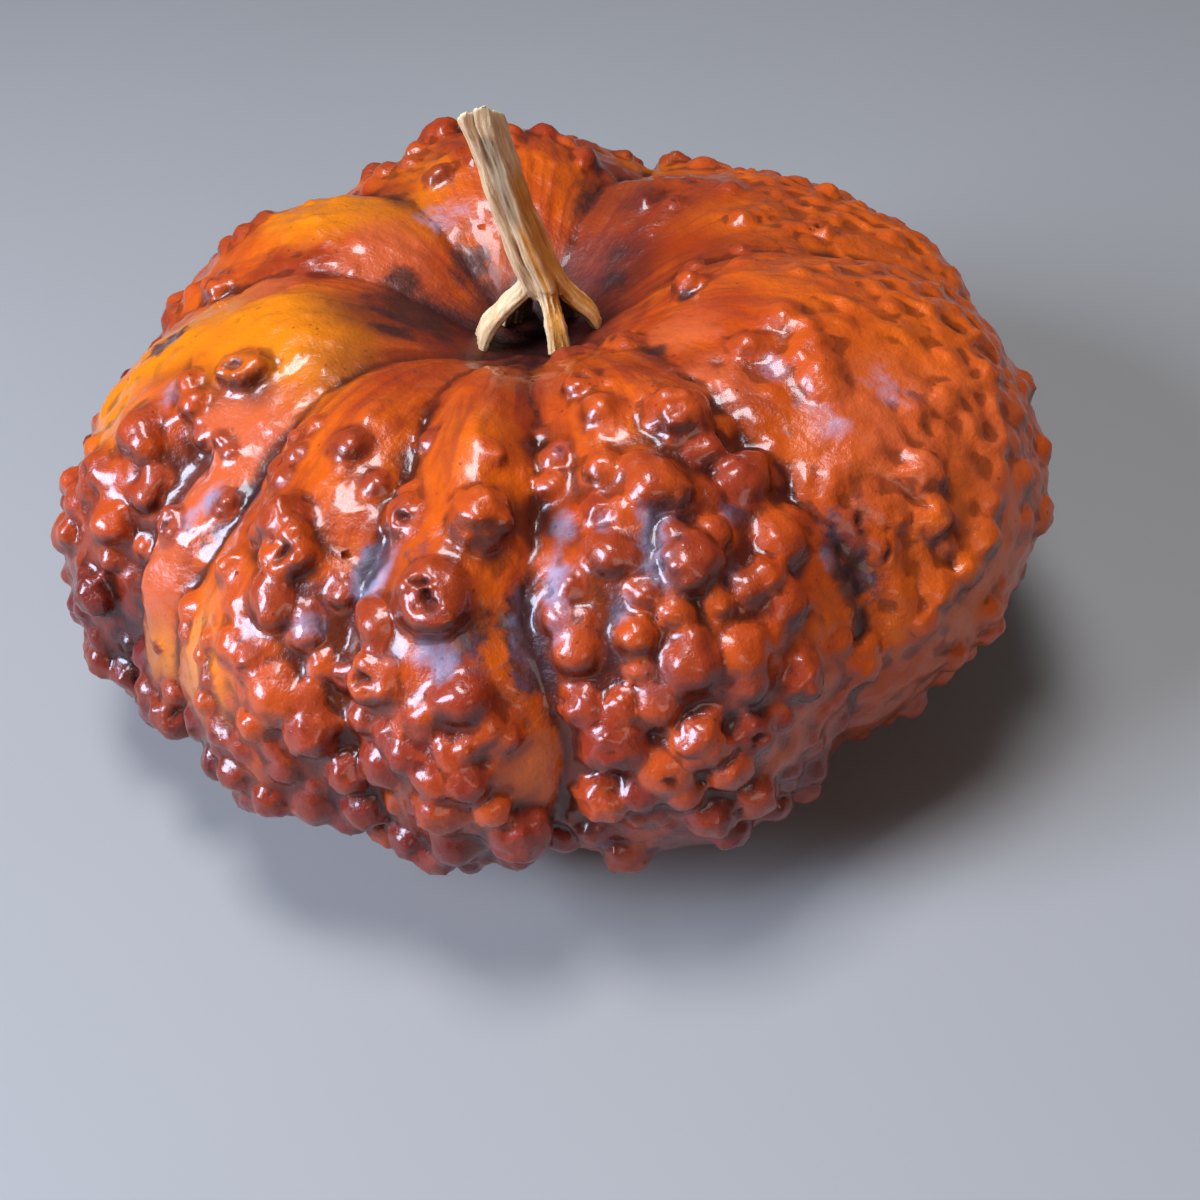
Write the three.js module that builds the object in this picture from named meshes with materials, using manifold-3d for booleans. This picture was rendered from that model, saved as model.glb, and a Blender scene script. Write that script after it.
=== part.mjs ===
// A warty, ribbed winter squash with its dried, woody stem.
// Millimetres, +Z up. It rests on z = 0, with the origin under the middle of its box.
// A place on the skin is given by its azimuth, counter-clockwise from +X, and by its polar
// angle, 0 at the stem end and 180 at the blossom end, both in degrees.

import * as THREE from 'three';
import { ConvexHull } from 'three/addons/math/ConvexHull.js';
import { mergeVertices } from 'three/addons/utils/BufferGeometryUtils.js';
import Module from 'manifold-3d';

const wasm = await Module();
wasm.setup();

// Driving dimensions of the fruit
const FOOT_DEPTH = 41.5; // from the widest level down to the flat resting spot
const MIDDLE_SHIFT = new THREE.Vector2(0.94, 0.33); // brings the middle of the box to the origin
const SIDE_ROUNDNESS = 0.78; // under 1 makes the flanks fuller than an ellipse
const CROWN_ROUNDNESS = 0.95;
const CROWN_HEIGHT = 54; // the crown near the stem, before the dimple is sunk
const BASE_DEPTH = 46; // the base near the blossom end, before its recess
const STEM_DIMPLE = { depth: 25, radius: 31 };
const BLOSSOM_RECESS = { depth: 9, radius: 26 };
const BLOSSOM_SCAR = { radius: 8, width: 2.2, height: 1.6 };

// The lobes in turn: where each starts, the depth of the groove there, how far the lobe
// reaches out, its crest above the widest level, its depth below it, and how much higher
// than the others its widest place lies
const LOBES = [
  { start: -112, groove: 8, reach: 98, crest: 54, under: 46, lift: 0 },
  { start: -91, groove: 9, reach: 99, crest: 54, under: 45, lift: 0 },
  { start: -56, groove: 9, reach: 100, crest: 56, under: 47, lift: 6 },
  { start: 6, groove: 8, reach: 96, crest: 46, under: 46, lift: 8 },
  { start: 67, groove: 12, reach: 96, crest: 57, under: 46, lift: 2 },
  { start: 125, groove: 8, reach: 97, crest: 54, under: 46, lift: -4 },
  { start: 163, groove: 10, reach: 99, crest: 52, under: 40, lift: -7 },
  { start: 221, groove: 11, reach: 96, crest: 52, under: 32, lift: -4 },
];
const GROOVE_POWER = 2.2; // how flat a lobe is between its grooves
const GROOVE_SHARPNESS = 0.16; // share of the half lobe that the crease at the bottom takes
const CROWN_GROOVE = { share: 0.92, polar: 35, width: 21 }; // grooves cut down into the crown
const CREASE = { azimuth: -152, from: 38, to: 95, depth: 5.5, halfWidth: 4.5 };

// Warts read from the skin, lobe by lobe: azimuth, polar angle, radius
const BEADS = [
  // left lobe
  [-162, 37, 3.2], [-157.5, 38, 3.2], [-161, 47, 5.5], [-153, 41.5, 2.2], [-149, 38.5, 2],
  [-146, 39, 2], [-163.5, 57, 5], [-155.5, 52, 3], [-155, 55.5, 3.4], [-169, 57, 3.2],
  [-168, 64, 4], [-172, 72, 3.2], [-164.5, 64, 4.6], [-157, 60, 2.6], [-157.5, 62.5, 4],
  [-165, 72, 5], [-170, 78, 3], [-157, 77, 5], [-166, 82, 2.6], [-163, 86, 2.5],
  [-158, 89, 2.5], [-160, 84, 2.6], [-158, 96, 4], [-150, 87, 3.5], [-155, 97, 4],
  [-151, 94, 3], [-147, 100, 4.5], [-143, 98, 5], [-147, 93, 4], [172, 60, 2.6],
  [176, 64, 2.4], [180, 68, 2.6], [-177, 72, 2.5], [176, 72, 2.4], [-175, 78, 2.6],
  [-178, 60, 2.2], [-142, 89, 3],
  // back left lobe
  [149, 45, 3], [157, 60, 4.2], [153, 62, 3.5], [160, 66, 3.2], [156, 52, 3], [145, 38, 3],
  [148, 41, 3],
  // back lobe
  [110, 38, 3.4], [118, 36, 3.4], [114, 32, 3], [103, 22, 2], [113, 22, 3.4], [92, 30, 3],
  [85, 32, 3.4], [92, 26, 2.4], [75, 27, 4], [80, 30, 3], [98, 34, 3], [122, 34, 2.5],
  // back right lobe
  [50, 18, 2.5], [38, 29, 3.2], [42, 20, 2.6], [24, 24, 3.3], [18, 30, 3], [8, 20, 2.4],
  [7, 27, 2.8], [5, 14, 2.8], [24, 55, 4], [18, 62, 4],
  // right lobe
  [-6, 18.5, 2.5], [-12, 13, 2.6], [-19, 13.5, 3.6], [-3, 37.5, 3.4], [0, 34, 2.5],
  [-20, 39, 3], [-15, 44, 3], [-7, 47, 3.6], [-20, 47, 3.4], [-33, 27, 4], [-34, 30, 3.5],
  [-37, 32.5, 4.5], [-40, 35.5, 5.4], [-42, 38.5, 4.5], [-43, 26, 3.4], [-51, 50, 3.5],
  [-36, 50, 3.2], [-31, 53, 4], [-25, 50, 4], [-23, 57, 4.2], [-22, 65, 4.2],
  [-31, 59, 3.5], [-41, 59, 5], [-48, 56, 2.6], [-47, 62, 4], [-43, 66.5, 4.6],
  [-43, 72, 3.2], [-35, 71, 4.2], [-38, 76, 4.6], [-45.5, 79, 4.5], [-41.5, 79, 4.3],
  [-19, 80, 3.6], [-24, 88, 5], [-48, 83, 4], [-47, 88, 2.6], [-36, 100, 4], [-37, 107, 2.6],
  [-38, 92, 4], [-43, 97, 3.6], [-28, 75, 3.5], [-30, 82, 4], [-27, 68, 3.6], [-15, 70, 3.4],
  [-12, 60, 3.4], [-16, 55, 3.2], [-10, 75, 3.6],
  // front lobe
  [-75, 9, 3], [-69, 9, 2.8], [-60, 8, 3], [-55, 12, 4.4], [-77.5, 27, 4.4], [-89, 26, 1.8],
  [-86.5, 31, 3], [-88, 35, 3], [-80, 35.5, 4], [-82, 41, 3], [-79, 42, 3], [-76, 37, 3.6],
  [-74.5, 39.8, 5.8], [-72.5, 41.5, 3.6], [-66, 31.5, 6.2], [-67.5, 27.5, 3.3],
  [-63.5, 31.5, 3.4], [-66, 36, 4], [-62.5, 42.5, 5.8], [-57.5, 45, 3], [-82, 48, 4.5],
  [-87, 52, 3], [-73.5, 52, 5.4], [-74, 48, 3.2], [-69.5, 48.5, 3.5], [-62, 54, 5.4],
  [-79, 54.5, 3], [-88.5, 57, 3.6], [-86.5, 58.5, 3.4], [-87, 63, 4.5], [-76.5, 58, 3.6],
  [-72, 58.5, 3], [-68, 58, 3.6], [-65.5, 58, 3.8], [-64.5, 63, 4.2], [-81, 61, 3.5],
  [-76, 66, 5.4], [-71, 67, 5], [-71, 71.5, 4.4], [-81, 66, 3], [-80, 72, 4.4], [-87, 73, 4],
  [-83.5, 73, 4], [-84.5, 79, 5.8], [-65, 76, 4.2], [-75, 75, 2.2], [-76.5, 79.5, 5],
  [-80, 83.5, 5.4], [-82.5, 88.5, 4], [-78.5, 89, 3.5], [-86, 90, 5.2], [-74, 86, 4],
  [-71.5, 95, 4.4], [-83, 96, 2.6], [-76, 96.5, 4.5], [-84, 112, 5], [-57, 83, 5.4],
  [-59, 76, 3], [-60, 86, 2.4], [-62, 114, 3.6],
  // front left lobe
  [-109, 28, 2.5], [-96.5, 32, 2.5], [-109.5, 36, 2.5], [-97.5, 41.5, 5.5], [-109, 58, 4.6],
  [-108.5, 61.5, 3], [-110.5, 75, 3], [-108.5, 83, 4], [-107, 76, 3], [-104.5, 72, 2.2],
  [-105.5, 74, 2.2], [-103, 73.8, 2], [-103, 71, 2.6], [-103, 78, 2.6], [-105, 79, 3.5],
  [-99, 68.5, 5], [-97, 74, 3], [-95, 76, 2.6], [-100, 78, 3.5], [-102, 82.5, 4],
  [-99, 82.5, 4], [-102, 88.5, 5], [-97, 89, 3.4], [-107, 104, 4], [-104, 107, 4],
  [-101.5, 99, 4.5], [-95, 97, 6], [-96, 108, 4.5],
  // left front lobe
  [-121.5, 32.5, 4], [-132, 30.5, 2.6], [-136, 32, 2.2], [-131, 35.5, 2.6], [-134, 38, 2.6],
  [-130.5, 39.5, 2.6], [-115, 36, 2.6], [-125, 45.5, 5], [-128, 47, 3.5], [-131, 55, 4],
  [-128, 59, 2.6], [-123, 56, 5], [-118.5, 58, 3], [-118.5, 61.5, 3], [-115, 54, 3],
  [-127, 66, 3.5], [-124, 67, 4], [-138, 68, 3], [-137, 71.5, 2.2], [-131, 67, 2.2],
  [-131.5, 70.5, 2.2], [-130, 73.5, 2.2], [-121, 71, 6], [-116, 67, 3], [-117.5, 72.5, 4.4],
  [-116.5, 78, 5.4], [-130, 78, 3], [-128, 83, 3], [-123, 78, 3.5], [-125, 83.5, 3],
  [-121, 82, 2.6], [-120, 86.5, 3], [-113, 69, 3], [-113, 87, 4], [-112, 97, 4.5],
  [-114.5, 103, 4], [-118, 97, 4], [-122.5, 97, 4], [-137, 104, 4], [-131, 96, 4],
  [-127, 92, 3.5], [-134, 88, 3.6], [-126, 102, 4],
];

// Warts with a broken, open tip
const OPEN_WARTS = [
  [-157, 30, 5], [-146.5, 56, 3.9], [-140.5, 47, 2.8], [160, 41, 4.3], [17, 35, 4.4],
  [-51.5, 60, 3.4], [-50, 67, 3.2], [-79, 21, 3.6], [-71.5, 81, 4], [-108.5, 40.5, 4.5],
  [-102.5, 53, 6.5], [-108.5, 67, 5], [-122.5, 49.5, 5.4],
];

// Smooth, low swellings of the skin
const SWELLINGS = [
  [166, 28, 5], [134, 28, 5], [13, 40, 5], [4, 42, 5], [-46, 45.5, 9], [-53, 35, 5.5],
  [-120, 27, 5], [-90, 33, 4.5], [-147, 68, 6], [-100, 30, 6],
];
const BEAD_HEIGHT = 0.8; // height over radius
const OPEN_HEIGHT = 0.72;
const SWELLING_HEIGHT = 0.3;
const OPENING = 0.4; // radius of a broken tip over the radius of its wart

// Warts placed by rule, on the sides that the read ones don't cover
const RULE_SEED = 7351;
const RULE_TRIES = 1500;
const RULE_RADIUS = { least: 2.7, range: 3.1 };
const RULE_SPACING = 0.86; // least distance over the sum of both radii
const RULE_BACK = { from: 10, to: 168 }; // azimuths of the sides seen from behind
const RULE_POLAR = { from: 32, to: 148 };
const RULE_LOW = 100; // below this polar angle the rule also covers the front
const FOOT_CLEARANCE = 5; // no wart within this height of the resting spot, on the underside

// Directions in which the skin is worked out
const RING_ANGLES = [1.5, 4, 7, 10, 14, 18, 23, 28, 34, 40, 47, 54, 61, 68, 75, 82, 89, 96, 103,
  111, 119, 127, 134, 140, 146, 152, 158, 164, 169, 173.5, 177];
const LOBE_SAMPLES = [-1, -0.84, -0.5, 0, 0.5, 0.84]; // across a lobe, from groove to groove
const POLE_SAMPLES = [-1, 0];
const POLE_RANGE = 12; // within this of either end a ring takes only the pole samples
const LARGE_WART = 3; // from this radius up a wart has an upper ring of points
const UPPER_RING = { points: 6, share: 0.66 };
const LOWER_RING = { points: 6, share: 1.12 };
const LEAST_GAP = 1.25; // least distance between two points of the skin near warts
const LEAST_GAP_PLAIN = 3.4; // the same for the plain skin

// Driving dimensions of the stem
const SKIN_GAP = 0.3;
const SHAFT = {
  points: [[2.9, 0.2, 41.5], [2.5, 0.1, 45], [0.4, -0.2, 51], [-1.9, -0.5, 61], [-3.9, -0.9, 71],
    [-5.3, -1.3, 77.7]],
  radii: [2.4, 4.1, 4, 3.7, 3.6, 3.9],
  endSlope: new THREE.Vector2(0.2, -1), // how the cut at the top rises across the shaft
  sides: 20,
  steps: 12,
  ridges: 5,
  ridgeDepth: 0.13,
};
const SHAFT_LEAN = 0.275; // how far the shaft leans to -X over its height
const LEGS = [
  { azimuth: 184, reach: 13.8, width: 2.3, thickness: 1.7 },
  { azimuth: -70, reach: 7, width: 1.6, thickness: 1.6 },
  { azimuth: 10, reach: 10.6, width: 2.7, thickness: 2 },
  { azimuth: 66, reach: 9.5, width: 2.3, thickness: 1.9 },
  { azimuth: 126, reach: 10.5, width: 2.3, thickness: 1.9 },
];
const LEG_FULL_REACH = 10; // shorter legs leave the shaft's axis less
const LEG_SIDES = 10;
const LEG_STEPS = 10;

const DEGREE = Math.PI / 180;
const NUDGE = 0.02; // step in degrees for slopes of the form
const smooth = (value) => THREE.MathUtils.smoothstep(value, 0, 1);
const bell = (value) => Math.exp(-value * value);
const wrap = (azimuth) => THREE.MathUtils.euclideanModulo(azimuth, 360);

// The lobe at an azimuth and the place across it, from -1 to 1 between its two grooves
function lobeAt(azimuth) {
  const turned = wrap(azimuth - LOBES[0].start);
  const starts = LOBES.map((lobe) => wrap(lobe.start - LOBES[0].start));
  const index = starts.findLastIndex((start) => start <= turned);
  const end = index + 1 < LOBES.length ? starts[index + 1] : 360;
  const across = ((turned - starts[index]) / (end - starts[index])) * 2 - 1;
  return { index, across };
}

// A lobe's measure at an azimuth, easing from the middle of one lobe to the next
const LOBE_MIDDLES = LOBES.map((lobe, index) => {
  const next = LOBES[(index + 1) % LOBES.length].start;
  return lobe.start + wrap(next - lobe.start) / 2;
});

function aroundLobes(measure, azimuth) {
  const turned = wrap(azimuth - LOBE_MIDDLES[0]);
  const middles = LOBE_MIDDLES.map((middle) => wrap(middle - LOBE_MIDDLES[0]));
  const index = middles.findLastIndex((middle) => middle <= turned);
  const nextIndex = (index + 1) % LOBES.length;
  const end = nextIndex === 0 ? 360 : middles[nextIndex];
  const share = smooth((turned - middles[index]) / (end - middles[index]));
  return THREE.MathUtils.lerp(LOBES[index][measure], LOBES[nextIndex][measure], share);
}

// Depth of the lobe's groove and of the extra crease at a place on the skin
function grooveDepth(azimuth) {
  const { index, across } = lobeAt(azimuth);
  const lobe = across < 0 ? LOBES[index] : LOBES[(index + 1) % LOBES.length];
  const away = Math.abs(across);
  const profile = away ** GROOVE_POWER
    - GROOVE_SHARPNESS * bell((1 - away) / GROOVE_SHARPNESS);
  return lobe.groove * profile;
}

function creaseDepth(azimuth, polar) {
  const aside = wrap(azimuth - CREASE.azimuth + 180) - 180;
  const along = smooth((polar - CREASE.from) / 8) * (1 - smooth((polar - CREASE.to) / 12));
  return CREASE.depth * along * bell(aside / CREASE.halfWidth);
}

// A point of the form without warts; grooved is 0 for its envelope and 1 for the real form
function formPoint(azimuth, polar, grooved = 1) {
  const sine = Math.abs(Math.sin(polar * DEGREE));
  const cosine = Math.cos(polar * DEGREE);
  const upper = cosine > 0;
  const radius = aroundLobes('reach', azimuth) * sine ** SIDE_ROUNDNESS;
  const inward = bell(radius / 45);
  const lobeHeight = aroundLobes(upper ? 'crest' : 'under', azimuth);
  const height = lobeHeight + ((upper ? CROWN_HEIGHT : BASE_DEPTH) - lobeHeight) * inward;
  const sink = upper
    ? -STEM_DIMPLE.depth * bell(radius / STEM_DIMPLE.radius)
    : BLOSSOM_RECESS.depth * bell(radius / BLOSSOM_RECESS.radius);
  const scar = upper
    ? 0
    : -BLOSSOM_SCAR.height * bell((radius - BLOSSOM_SCAR.radius) / BLOSSOM_SCAR.width);
  const groove = grooved * grooveDepth(azimuth);
  const crease = grooved * creaseDepth(azimuth, polar);
  const onFlank = smooth((polar - 18) / 50);
  const onCrown = CROWN_GROOVE.share * bell((polar - CROWN_GROOVE.polar) / CROWN_GROOVE.width);
  const onBase = 0.5 * bell((polar - 146) / 26);
  const reach = Math.max(radius - groove * onFlank - crease, 0);
  const z = height * Math.sign(cosine) * Math.abs(cosine) ** CROWN_ROUNDNESS
    + sink + scar + aroundLobes('lift', azimuth) * sine ** 3
    - groove * onCrown + groove * onBase - 0.4 * crease;
  const turn = azimuth * DEGREE;
  return new THREE.Vector3(reach * Math.cos(turn), reach * Math.sin(turn), z);
}

// Outward direction of the envelope, along which warts stand
function outward(azimuth, polar) {
  const level = THREE.MathUtils.clamp(polar, 1, 179);
  const along = formPoint(azimuth, level + NUDGE, 0).sub(formPoint(azimuth, level - NUDGE, 0));
  const aside = formPoint(azimuth + NUDGE, level, 0).sub(formPoint(azimuth - NUDGE, level, 0));
  return along.cross(aside).normalize();
}

// One wart: where it sits, how high it stands and how it is shaped
function makeWart([azimuth, polar, radius], heightShare, open = false) {
  return { azimuth, polar, radius, height: radius * heightShare, open,
    centre: formPoint(azimuth, polar) };
}

// A repeatable draw from 0 to 1
function drawFrom(seed) {
  let state = seed;
  return () => {
    state = (state * 48271) % 2147483647;
    return state / 2147483647;
  };
}

function ruleCovers(azimuth, polar) {
  const fromBehind = wrap(azimuth) > RULE_BACK.from && wrap(azimuth) < RULE_BACK.to;
  return polar > RULE_LOW || (fromBehind && polar > RULE_POLAR.from + 10);
}

function wartsByRule(read) {
  const draw = drawFrom(RULE_SEED);
  const placed = [...read];
  for (let turn = 0; turn < RULE_TRIES; turn += 1) {
    const azimuth = 360 * draw();
    const polar = RULE_POLAR.from + (RULE_POLAR.to - RULE_POLAR.from) * draw();
    const radius = RULE_RADIUS.least + RULE_RADIUS.range * draw() ** 2;
    const keep = draw();
    const nearGroove = Math.abs(lobeAt(azimuth).across);
    const crowd = bell((polar - 82) / 34) * (1 - 0.6 * nearGroove ** 4);
    const wart = makeWart([azimuth, polar, radius], BEAD_HEIGHT);
    const clear = placed.every((other) => other.centre.distanceTo(wart.centre)
      > RULE_SPACING * (other.radius + radius));
    const abovefoot = polar < 90 || wart.centre.z > FOOT_CLEARANCE - FOOT_DEPTH;
    if (ruleCovers(azimuth, polar) && keep < crowd && clear && abovefoot) {
      placed.push(wart);
    }
  }
  return placed;
}

const READ_WARTS = [
  ...BEADS.map((row) => makeWart(row, BEAD_HEIGHT)),
  ...OPEN_WARTS.map((row) => makeWart(row, OPEN_HEIGHT, true)),
  ...SWELLINGS.map((row) => makeWart(row, SWELLING_HEIGHT)),
];
const WARTS = wartsByRule(READ_WARTS);

// How high the warts raise the skin at a point of the form
function raiseAt(point) {
  let raise = 0;
  for (const wart of WARTS) {
    const away = wart.centre.distanceTo(point) / wart.radius;
    if (away < 1) {
      const hollow = wart.open ? 0.7 * bell(away / OPENING) : 0;
      raise = Math.max(raise, wart.height * (Math.sqrt(1 - away * away) - hollow));
    }
  }
  return raise;
}

function skinPoint(azimuth, polar, clearance = 0) {
  const point = formPoint(azimuth, polar);
  point.addScaledVector(outward(azimuth, polar), raiseAt(point) + clearance);
  point.z = Math.max(point.z, -FOOT_DEPTH);
  return point;
}

// The place on the skin that lies a given way off, in the skin's plane, from a wart's middle
function placeBeside(wart, distance, turn) {
  const { azimuth, polar } = wart;
  const along = formPoint(azimuth, polar + NUDGE).sub(formPoint(azimuth, polar - NUDGE));
  const aside = formPoint(azimuth + NUDGE, polar).sub(formPoint(azimuth - NUDGE, polar));
  along.divideScalar(2 * NUDGE);
  aside.divideScalar(2 * NUDGE);
  const across = aside.clone().normalize();
  const down = along.clone().addScaledVector(across, -along.dot(across)).normalize();
  const polarStep = (distance * Math.sin(turn)) / along.dot(down);
  const asideStep = (distance * Math.cos(turn) - polarStep * along.dot(across)) / aside.length();
  return { azimuth: azimuth + asideStep, polar: polar + polarStep };
}

function ringAround(wart, { points, share }, offset) {
  return Array.from({ length: points }, (_, index) =>
    placeBeside(wart, wart.radius * share, ((index + offset) / points) * 2 * Math.PI));
}

// Places where the skin is worked out: wart tips, the rings round them, then the plain skin
function choosePlaces() {
  const chosen = [];
  const offer = (place, gap, wartShare, own = null) => {
    const point = formPoint(place.azimuth, place.polar);
    const inWart = WARTS.some((wart) => wart !== own
      && wart.centre.distanceTo(point) < wartShare * wart.radius);
    const crowded = chosen.some((other) => other.point.distanceTo(point) < gap);
    if (!inWart && !crowded && place.polar > 0 && place.polar < 180) {
      chosen.push({ ...place, point });
    }
  };
  const bySize = [...WARTS].sort((first, second) => second.radius - first.radius);
  bySize.forEach((wart) => offer(wart, LEAST_GAP, 0.35, wart));
  bySize.filter((wart) => wart.radius >= LARGE_WART).forEach((wart) =>
    ringAround(wart, UPPER_RING, 0).forEach((place) => offer(place, LEAST_GAP, 0.5, wart)));
  bySize.forEach((wart) => ringAround(wart, LOWER_RING, 0.5).forEach((place) =>
    offer(place, LEAST_GAP, 0.9, wart)));
  for (const polar of RING_ANGLES) {
    const nearPole = Math.min(polar, 180 - polar) < POLE_RANGE;
    const samples = nearPole ? POLE_SAMPLES : LOBE_SAMPLES;
    LOBES.forEach((lobe, index) => {
      const width = wrap(LOBES[(index + 1) % LOBES.length].start - lobe.start);
      samples.forEach((across) => {
        const azimuth = lobe.start + (width * (across + 1)) / 2;
        offer({ azimuth, polar }, LEAST_GAP_PLAIN, 1.1);
      });
    });
  }
  const poles = [0.02, 179.98].map((polar) => ({ azimuth: 0, polar }));
  return [...chosen, ...poles];
}

const PLACES = choosePlaces();

// The hull of all directions joins neighbouring places into triangles that cover the skin once
function joinPlaces(places) {
  const directions = places.map(({ azimuth, polar }) =>
    new THREE.Vector3().setFromSphericalCoords(1, polar * DEGREE, azimuth * DEGREE));
  const order = new Map(directions.map((direction, index) => [direction, index]));
  const hull = new ConvexHull().setFromPoints(directions);
  return hull.faces.flatMap((face) => {
    const first = face.edge;
    return [first, first.next, first.next.next].map((edge) => order.get(edge.head().point));
  });
}

const TRIANGLES = joinPlaces(PLACES);

function skinGeometry(clearance = 0) {
  const geometry = new THREE.BufferGeometry();
  const corners = PLACES.flatMap(({ azimuth, polar }) =>
    skinPoint(azimuth, polar, clearance).toArray());
  geometry.setAttribute('position', new THREE.Float32BufferAttribute(corners, 3));
  geometry.setIndex(TRIANGLES);
  return geometry;
}

// Solids for joining and cutting
function toSolid(geometry) {
  const plain = geometry.clone();
  plain.deleteAttribute('normal');
  plain.deleteAttribute('uv');
  const merged = mergeVertices(plain, 1e-4);
  return new wasm.Manifold(new wasm.Mesh({
    numProp: 3,
    vertProperties: new Float32Array(merged.attributes.position.array),
    triVerts: new Uint32Array(merged.index.array),
  }));
}

function toGeometry(solid) {
  const mesh = solid.getMesh();
  const geometry = new THREE.BufferGeometry();
  geometry.setAttribute('position', new THREE.BufferAttribute(mesh.vertProperties, 3));
  geometry.setIndex(new THREE.BufferAttribute(mesh.triVerts, 1));
  return geometry;
}

// A tapered beam along a curve: a cylinder whose rings are moved onto the curve
function beam({ points, widths, thicknesses, side, sides, steps, ridges = 0, ridgeDepth = 0,
  endSlope = new THREE.Vector2() }) {
  const path = new THREE.CatmullRomCurve3(points.map((point) => new THREE.Vector3(...point)));
  const geometry = new THREE.CylinderGeometry(1, 1, 1, sides, steps);
  const position = geometry.attributes.position;
  const corner = new THREE.Vector3();
  for (let index = 0; index < position.count; index += 1) {
    corner.fromBufferAttribute(position, index);
    const along = THREE.MathUtils.clamp(corner.y + 0.5, 0, 1);
    const slot = Math.min(along * (widths.length - 1), widths.length - 1.000001);
    const low = Math.floor(slot);
    const share = smooth(slot - low);
    const width = THREE.MathUtils.lerp(widths[low], widths[low + 1], share);
    const thickness = THREE.MathUtils.lerp(thicknesses[low], thicknesses[low + 1], share);
    const turn = Math.atan2(corner.z, corner.x);
    const ridge = 1 + ridgeDepth * Math.cos(ridges * turn);
    const tangent = path.getTangent(along);
    const normal = new THREE.Vector3().crossVectors(side, tangent).normalize();
    const centre = path.getPoint(along);
    const axis = centre.clone();
    centre.addScaledVector(side, corner.x * width * ridge);
    centre.addScaledVector(normal, corner.z * thickness * ridge);
    const rise = (centre.x - axis.x) * endSlope.x + (centre.y - axis.y) * endSlope.y;
    centre.addScaledVector(tangent, rise * smooth((along - 0.7) / 0.3));
    position.setXYZ(index, centre.x, centre.y, centre.z);
  }
  return geometry;
}

// The stem: a ridged shaft on five flared legs, trimmed to stand just clear of the skin
function stemGeometry() {
  const shaft = beam({
    ...SHAFT,
    widths: SHAFT.radii,
    thicknesses: SHAFT.radii,
    side: new THREE.Vector3(1, 0, 0),
  });
  let solid = toSolid(shaft);
  const [rootX, rootY, rootZ] = SHAFT.points[1];
  for (const leg of LEGS) {
    const outX = Math.cos(leg.azimuth * DEGREE);
    const outY = Math.sin(leg.azimuth * DEGREE);
    const spread = Math.min(leg.reach / LEG_FULL_REACH, 1);
    const at = (reach, height) => {
      const lean = SHAFT_LEAN * Math.max(height - rootZ, 0);
      return [rootX - lean + outX * reach, rootY + outY * reach, height];
    };
    const legGeometry = beam({
      points: [
        at(1.2 * spread, 54),
        at(2.1 * spread, 48.5),
        at(3.1 * spread, 43),
        at(leg.reach * 0.58, 38.2),
        at(leg.reach - 1.5, 33.5),
        at(leg.reach, 27),
      ],
      widths: [1.4, 1.9, leg.width, leg.width * 0.95, leg.width * 1.1, leg.width * 1.3],
      thicknesses: [1.3, 1.5, leg.thickness, leg.thickness, leg.thickness, leg.thickness],
      side: new THREE.Vector3(-outY, outX, 0),
      sides: LEG_SIDES,
      steps: LEG_STEPS,
    });
    solid = solid.add(toSolid(legGeometry));
  }
  return toGeometry(solid.subtract(toSolid(skinGeometry(SKIN_GAP))));
}

const squash = new THREE.Group();
squash.position.set(MIDDLE_SHIFT.x, MIDDLE_SHIFT.y, FOOT_DEPTH);

const fruit = new THREE.Mesh(
  skinGeometry(),
  new THREE.MeshStandardMaterial({ color: 0xc4511a, roughness: 0.28, metalness: 0 }),
);
fruit.name = 'fruit';
squash.add(fruit);

const stem = new THREE.Mesh(
  stemGeometry(),
  new THREE.MeshStandardMaterial({ color: 0xb9956a, roughness: 0.8, metalness: 0 }),
);
stem.name = 'stem';
squash.add(stem);

const group = new THREE.Group();
group.add(squash);

export default group;
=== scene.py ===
"""Looks of a warty, ribbed winter squash with its dried stem.

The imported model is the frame. Two pieces replace its nodes: the skin, which keeps the form and
the warts of the solid and adds the fine ones, and the dried stem. Sizes of the fruit are in
millimetres in the fruit's own form, whose widest level is at height 0, and are turned into
metres in the row frame when a mesh is made. A place on the skin is given by its azimuth,
counter-clockwise from +X, and its polar angle from the stem end, both in degrees.
"""
import logging
import math
from dataclasses import dataclass, field
from enum import Enum

import bpy
import numpy as np
from mathutils import Matrix, Vector


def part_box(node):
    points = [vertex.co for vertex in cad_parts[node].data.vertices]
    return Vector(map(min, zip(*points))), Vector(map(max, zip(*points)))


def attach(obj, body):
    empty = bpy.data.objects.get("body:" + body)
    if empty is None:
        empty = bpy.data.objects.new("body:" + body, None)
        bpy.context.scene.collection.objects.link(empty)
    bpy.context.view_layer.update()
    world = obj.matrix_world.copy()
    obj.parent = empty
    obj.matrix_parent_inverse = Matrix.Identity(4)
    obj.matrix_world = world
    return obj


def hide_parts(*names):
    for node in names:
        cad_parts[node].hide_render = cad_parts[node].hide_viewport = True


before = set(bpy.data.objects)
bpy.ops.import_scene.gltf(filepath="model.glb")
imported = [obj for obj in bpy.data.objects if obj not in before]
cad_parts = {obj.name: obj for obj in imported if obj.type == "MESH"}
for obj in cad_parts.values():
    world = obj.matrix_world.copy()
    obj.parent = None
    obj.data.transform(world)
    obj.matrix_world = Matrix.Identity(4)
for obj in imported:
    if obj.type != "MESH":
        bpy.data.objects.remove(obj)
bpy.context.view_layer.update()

LOG = logging.getLogger("squash")
Array = np.ndarray

MILLIMETRE = 0.001
# Where the middle of the form's widest level stands in the row frame, in millimetres
FOOT_DEPTH = 41.5
MIDDLE_SHIFT = (0.94, 0.33)
# The height over the radius from which a wart stands, while a lower one is a swelling
STANDING = 0.35
# The turn in radians from one bead of a mound to the next, which spreads them evenly
GOLDEN_TURN = 2.39996
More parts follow.
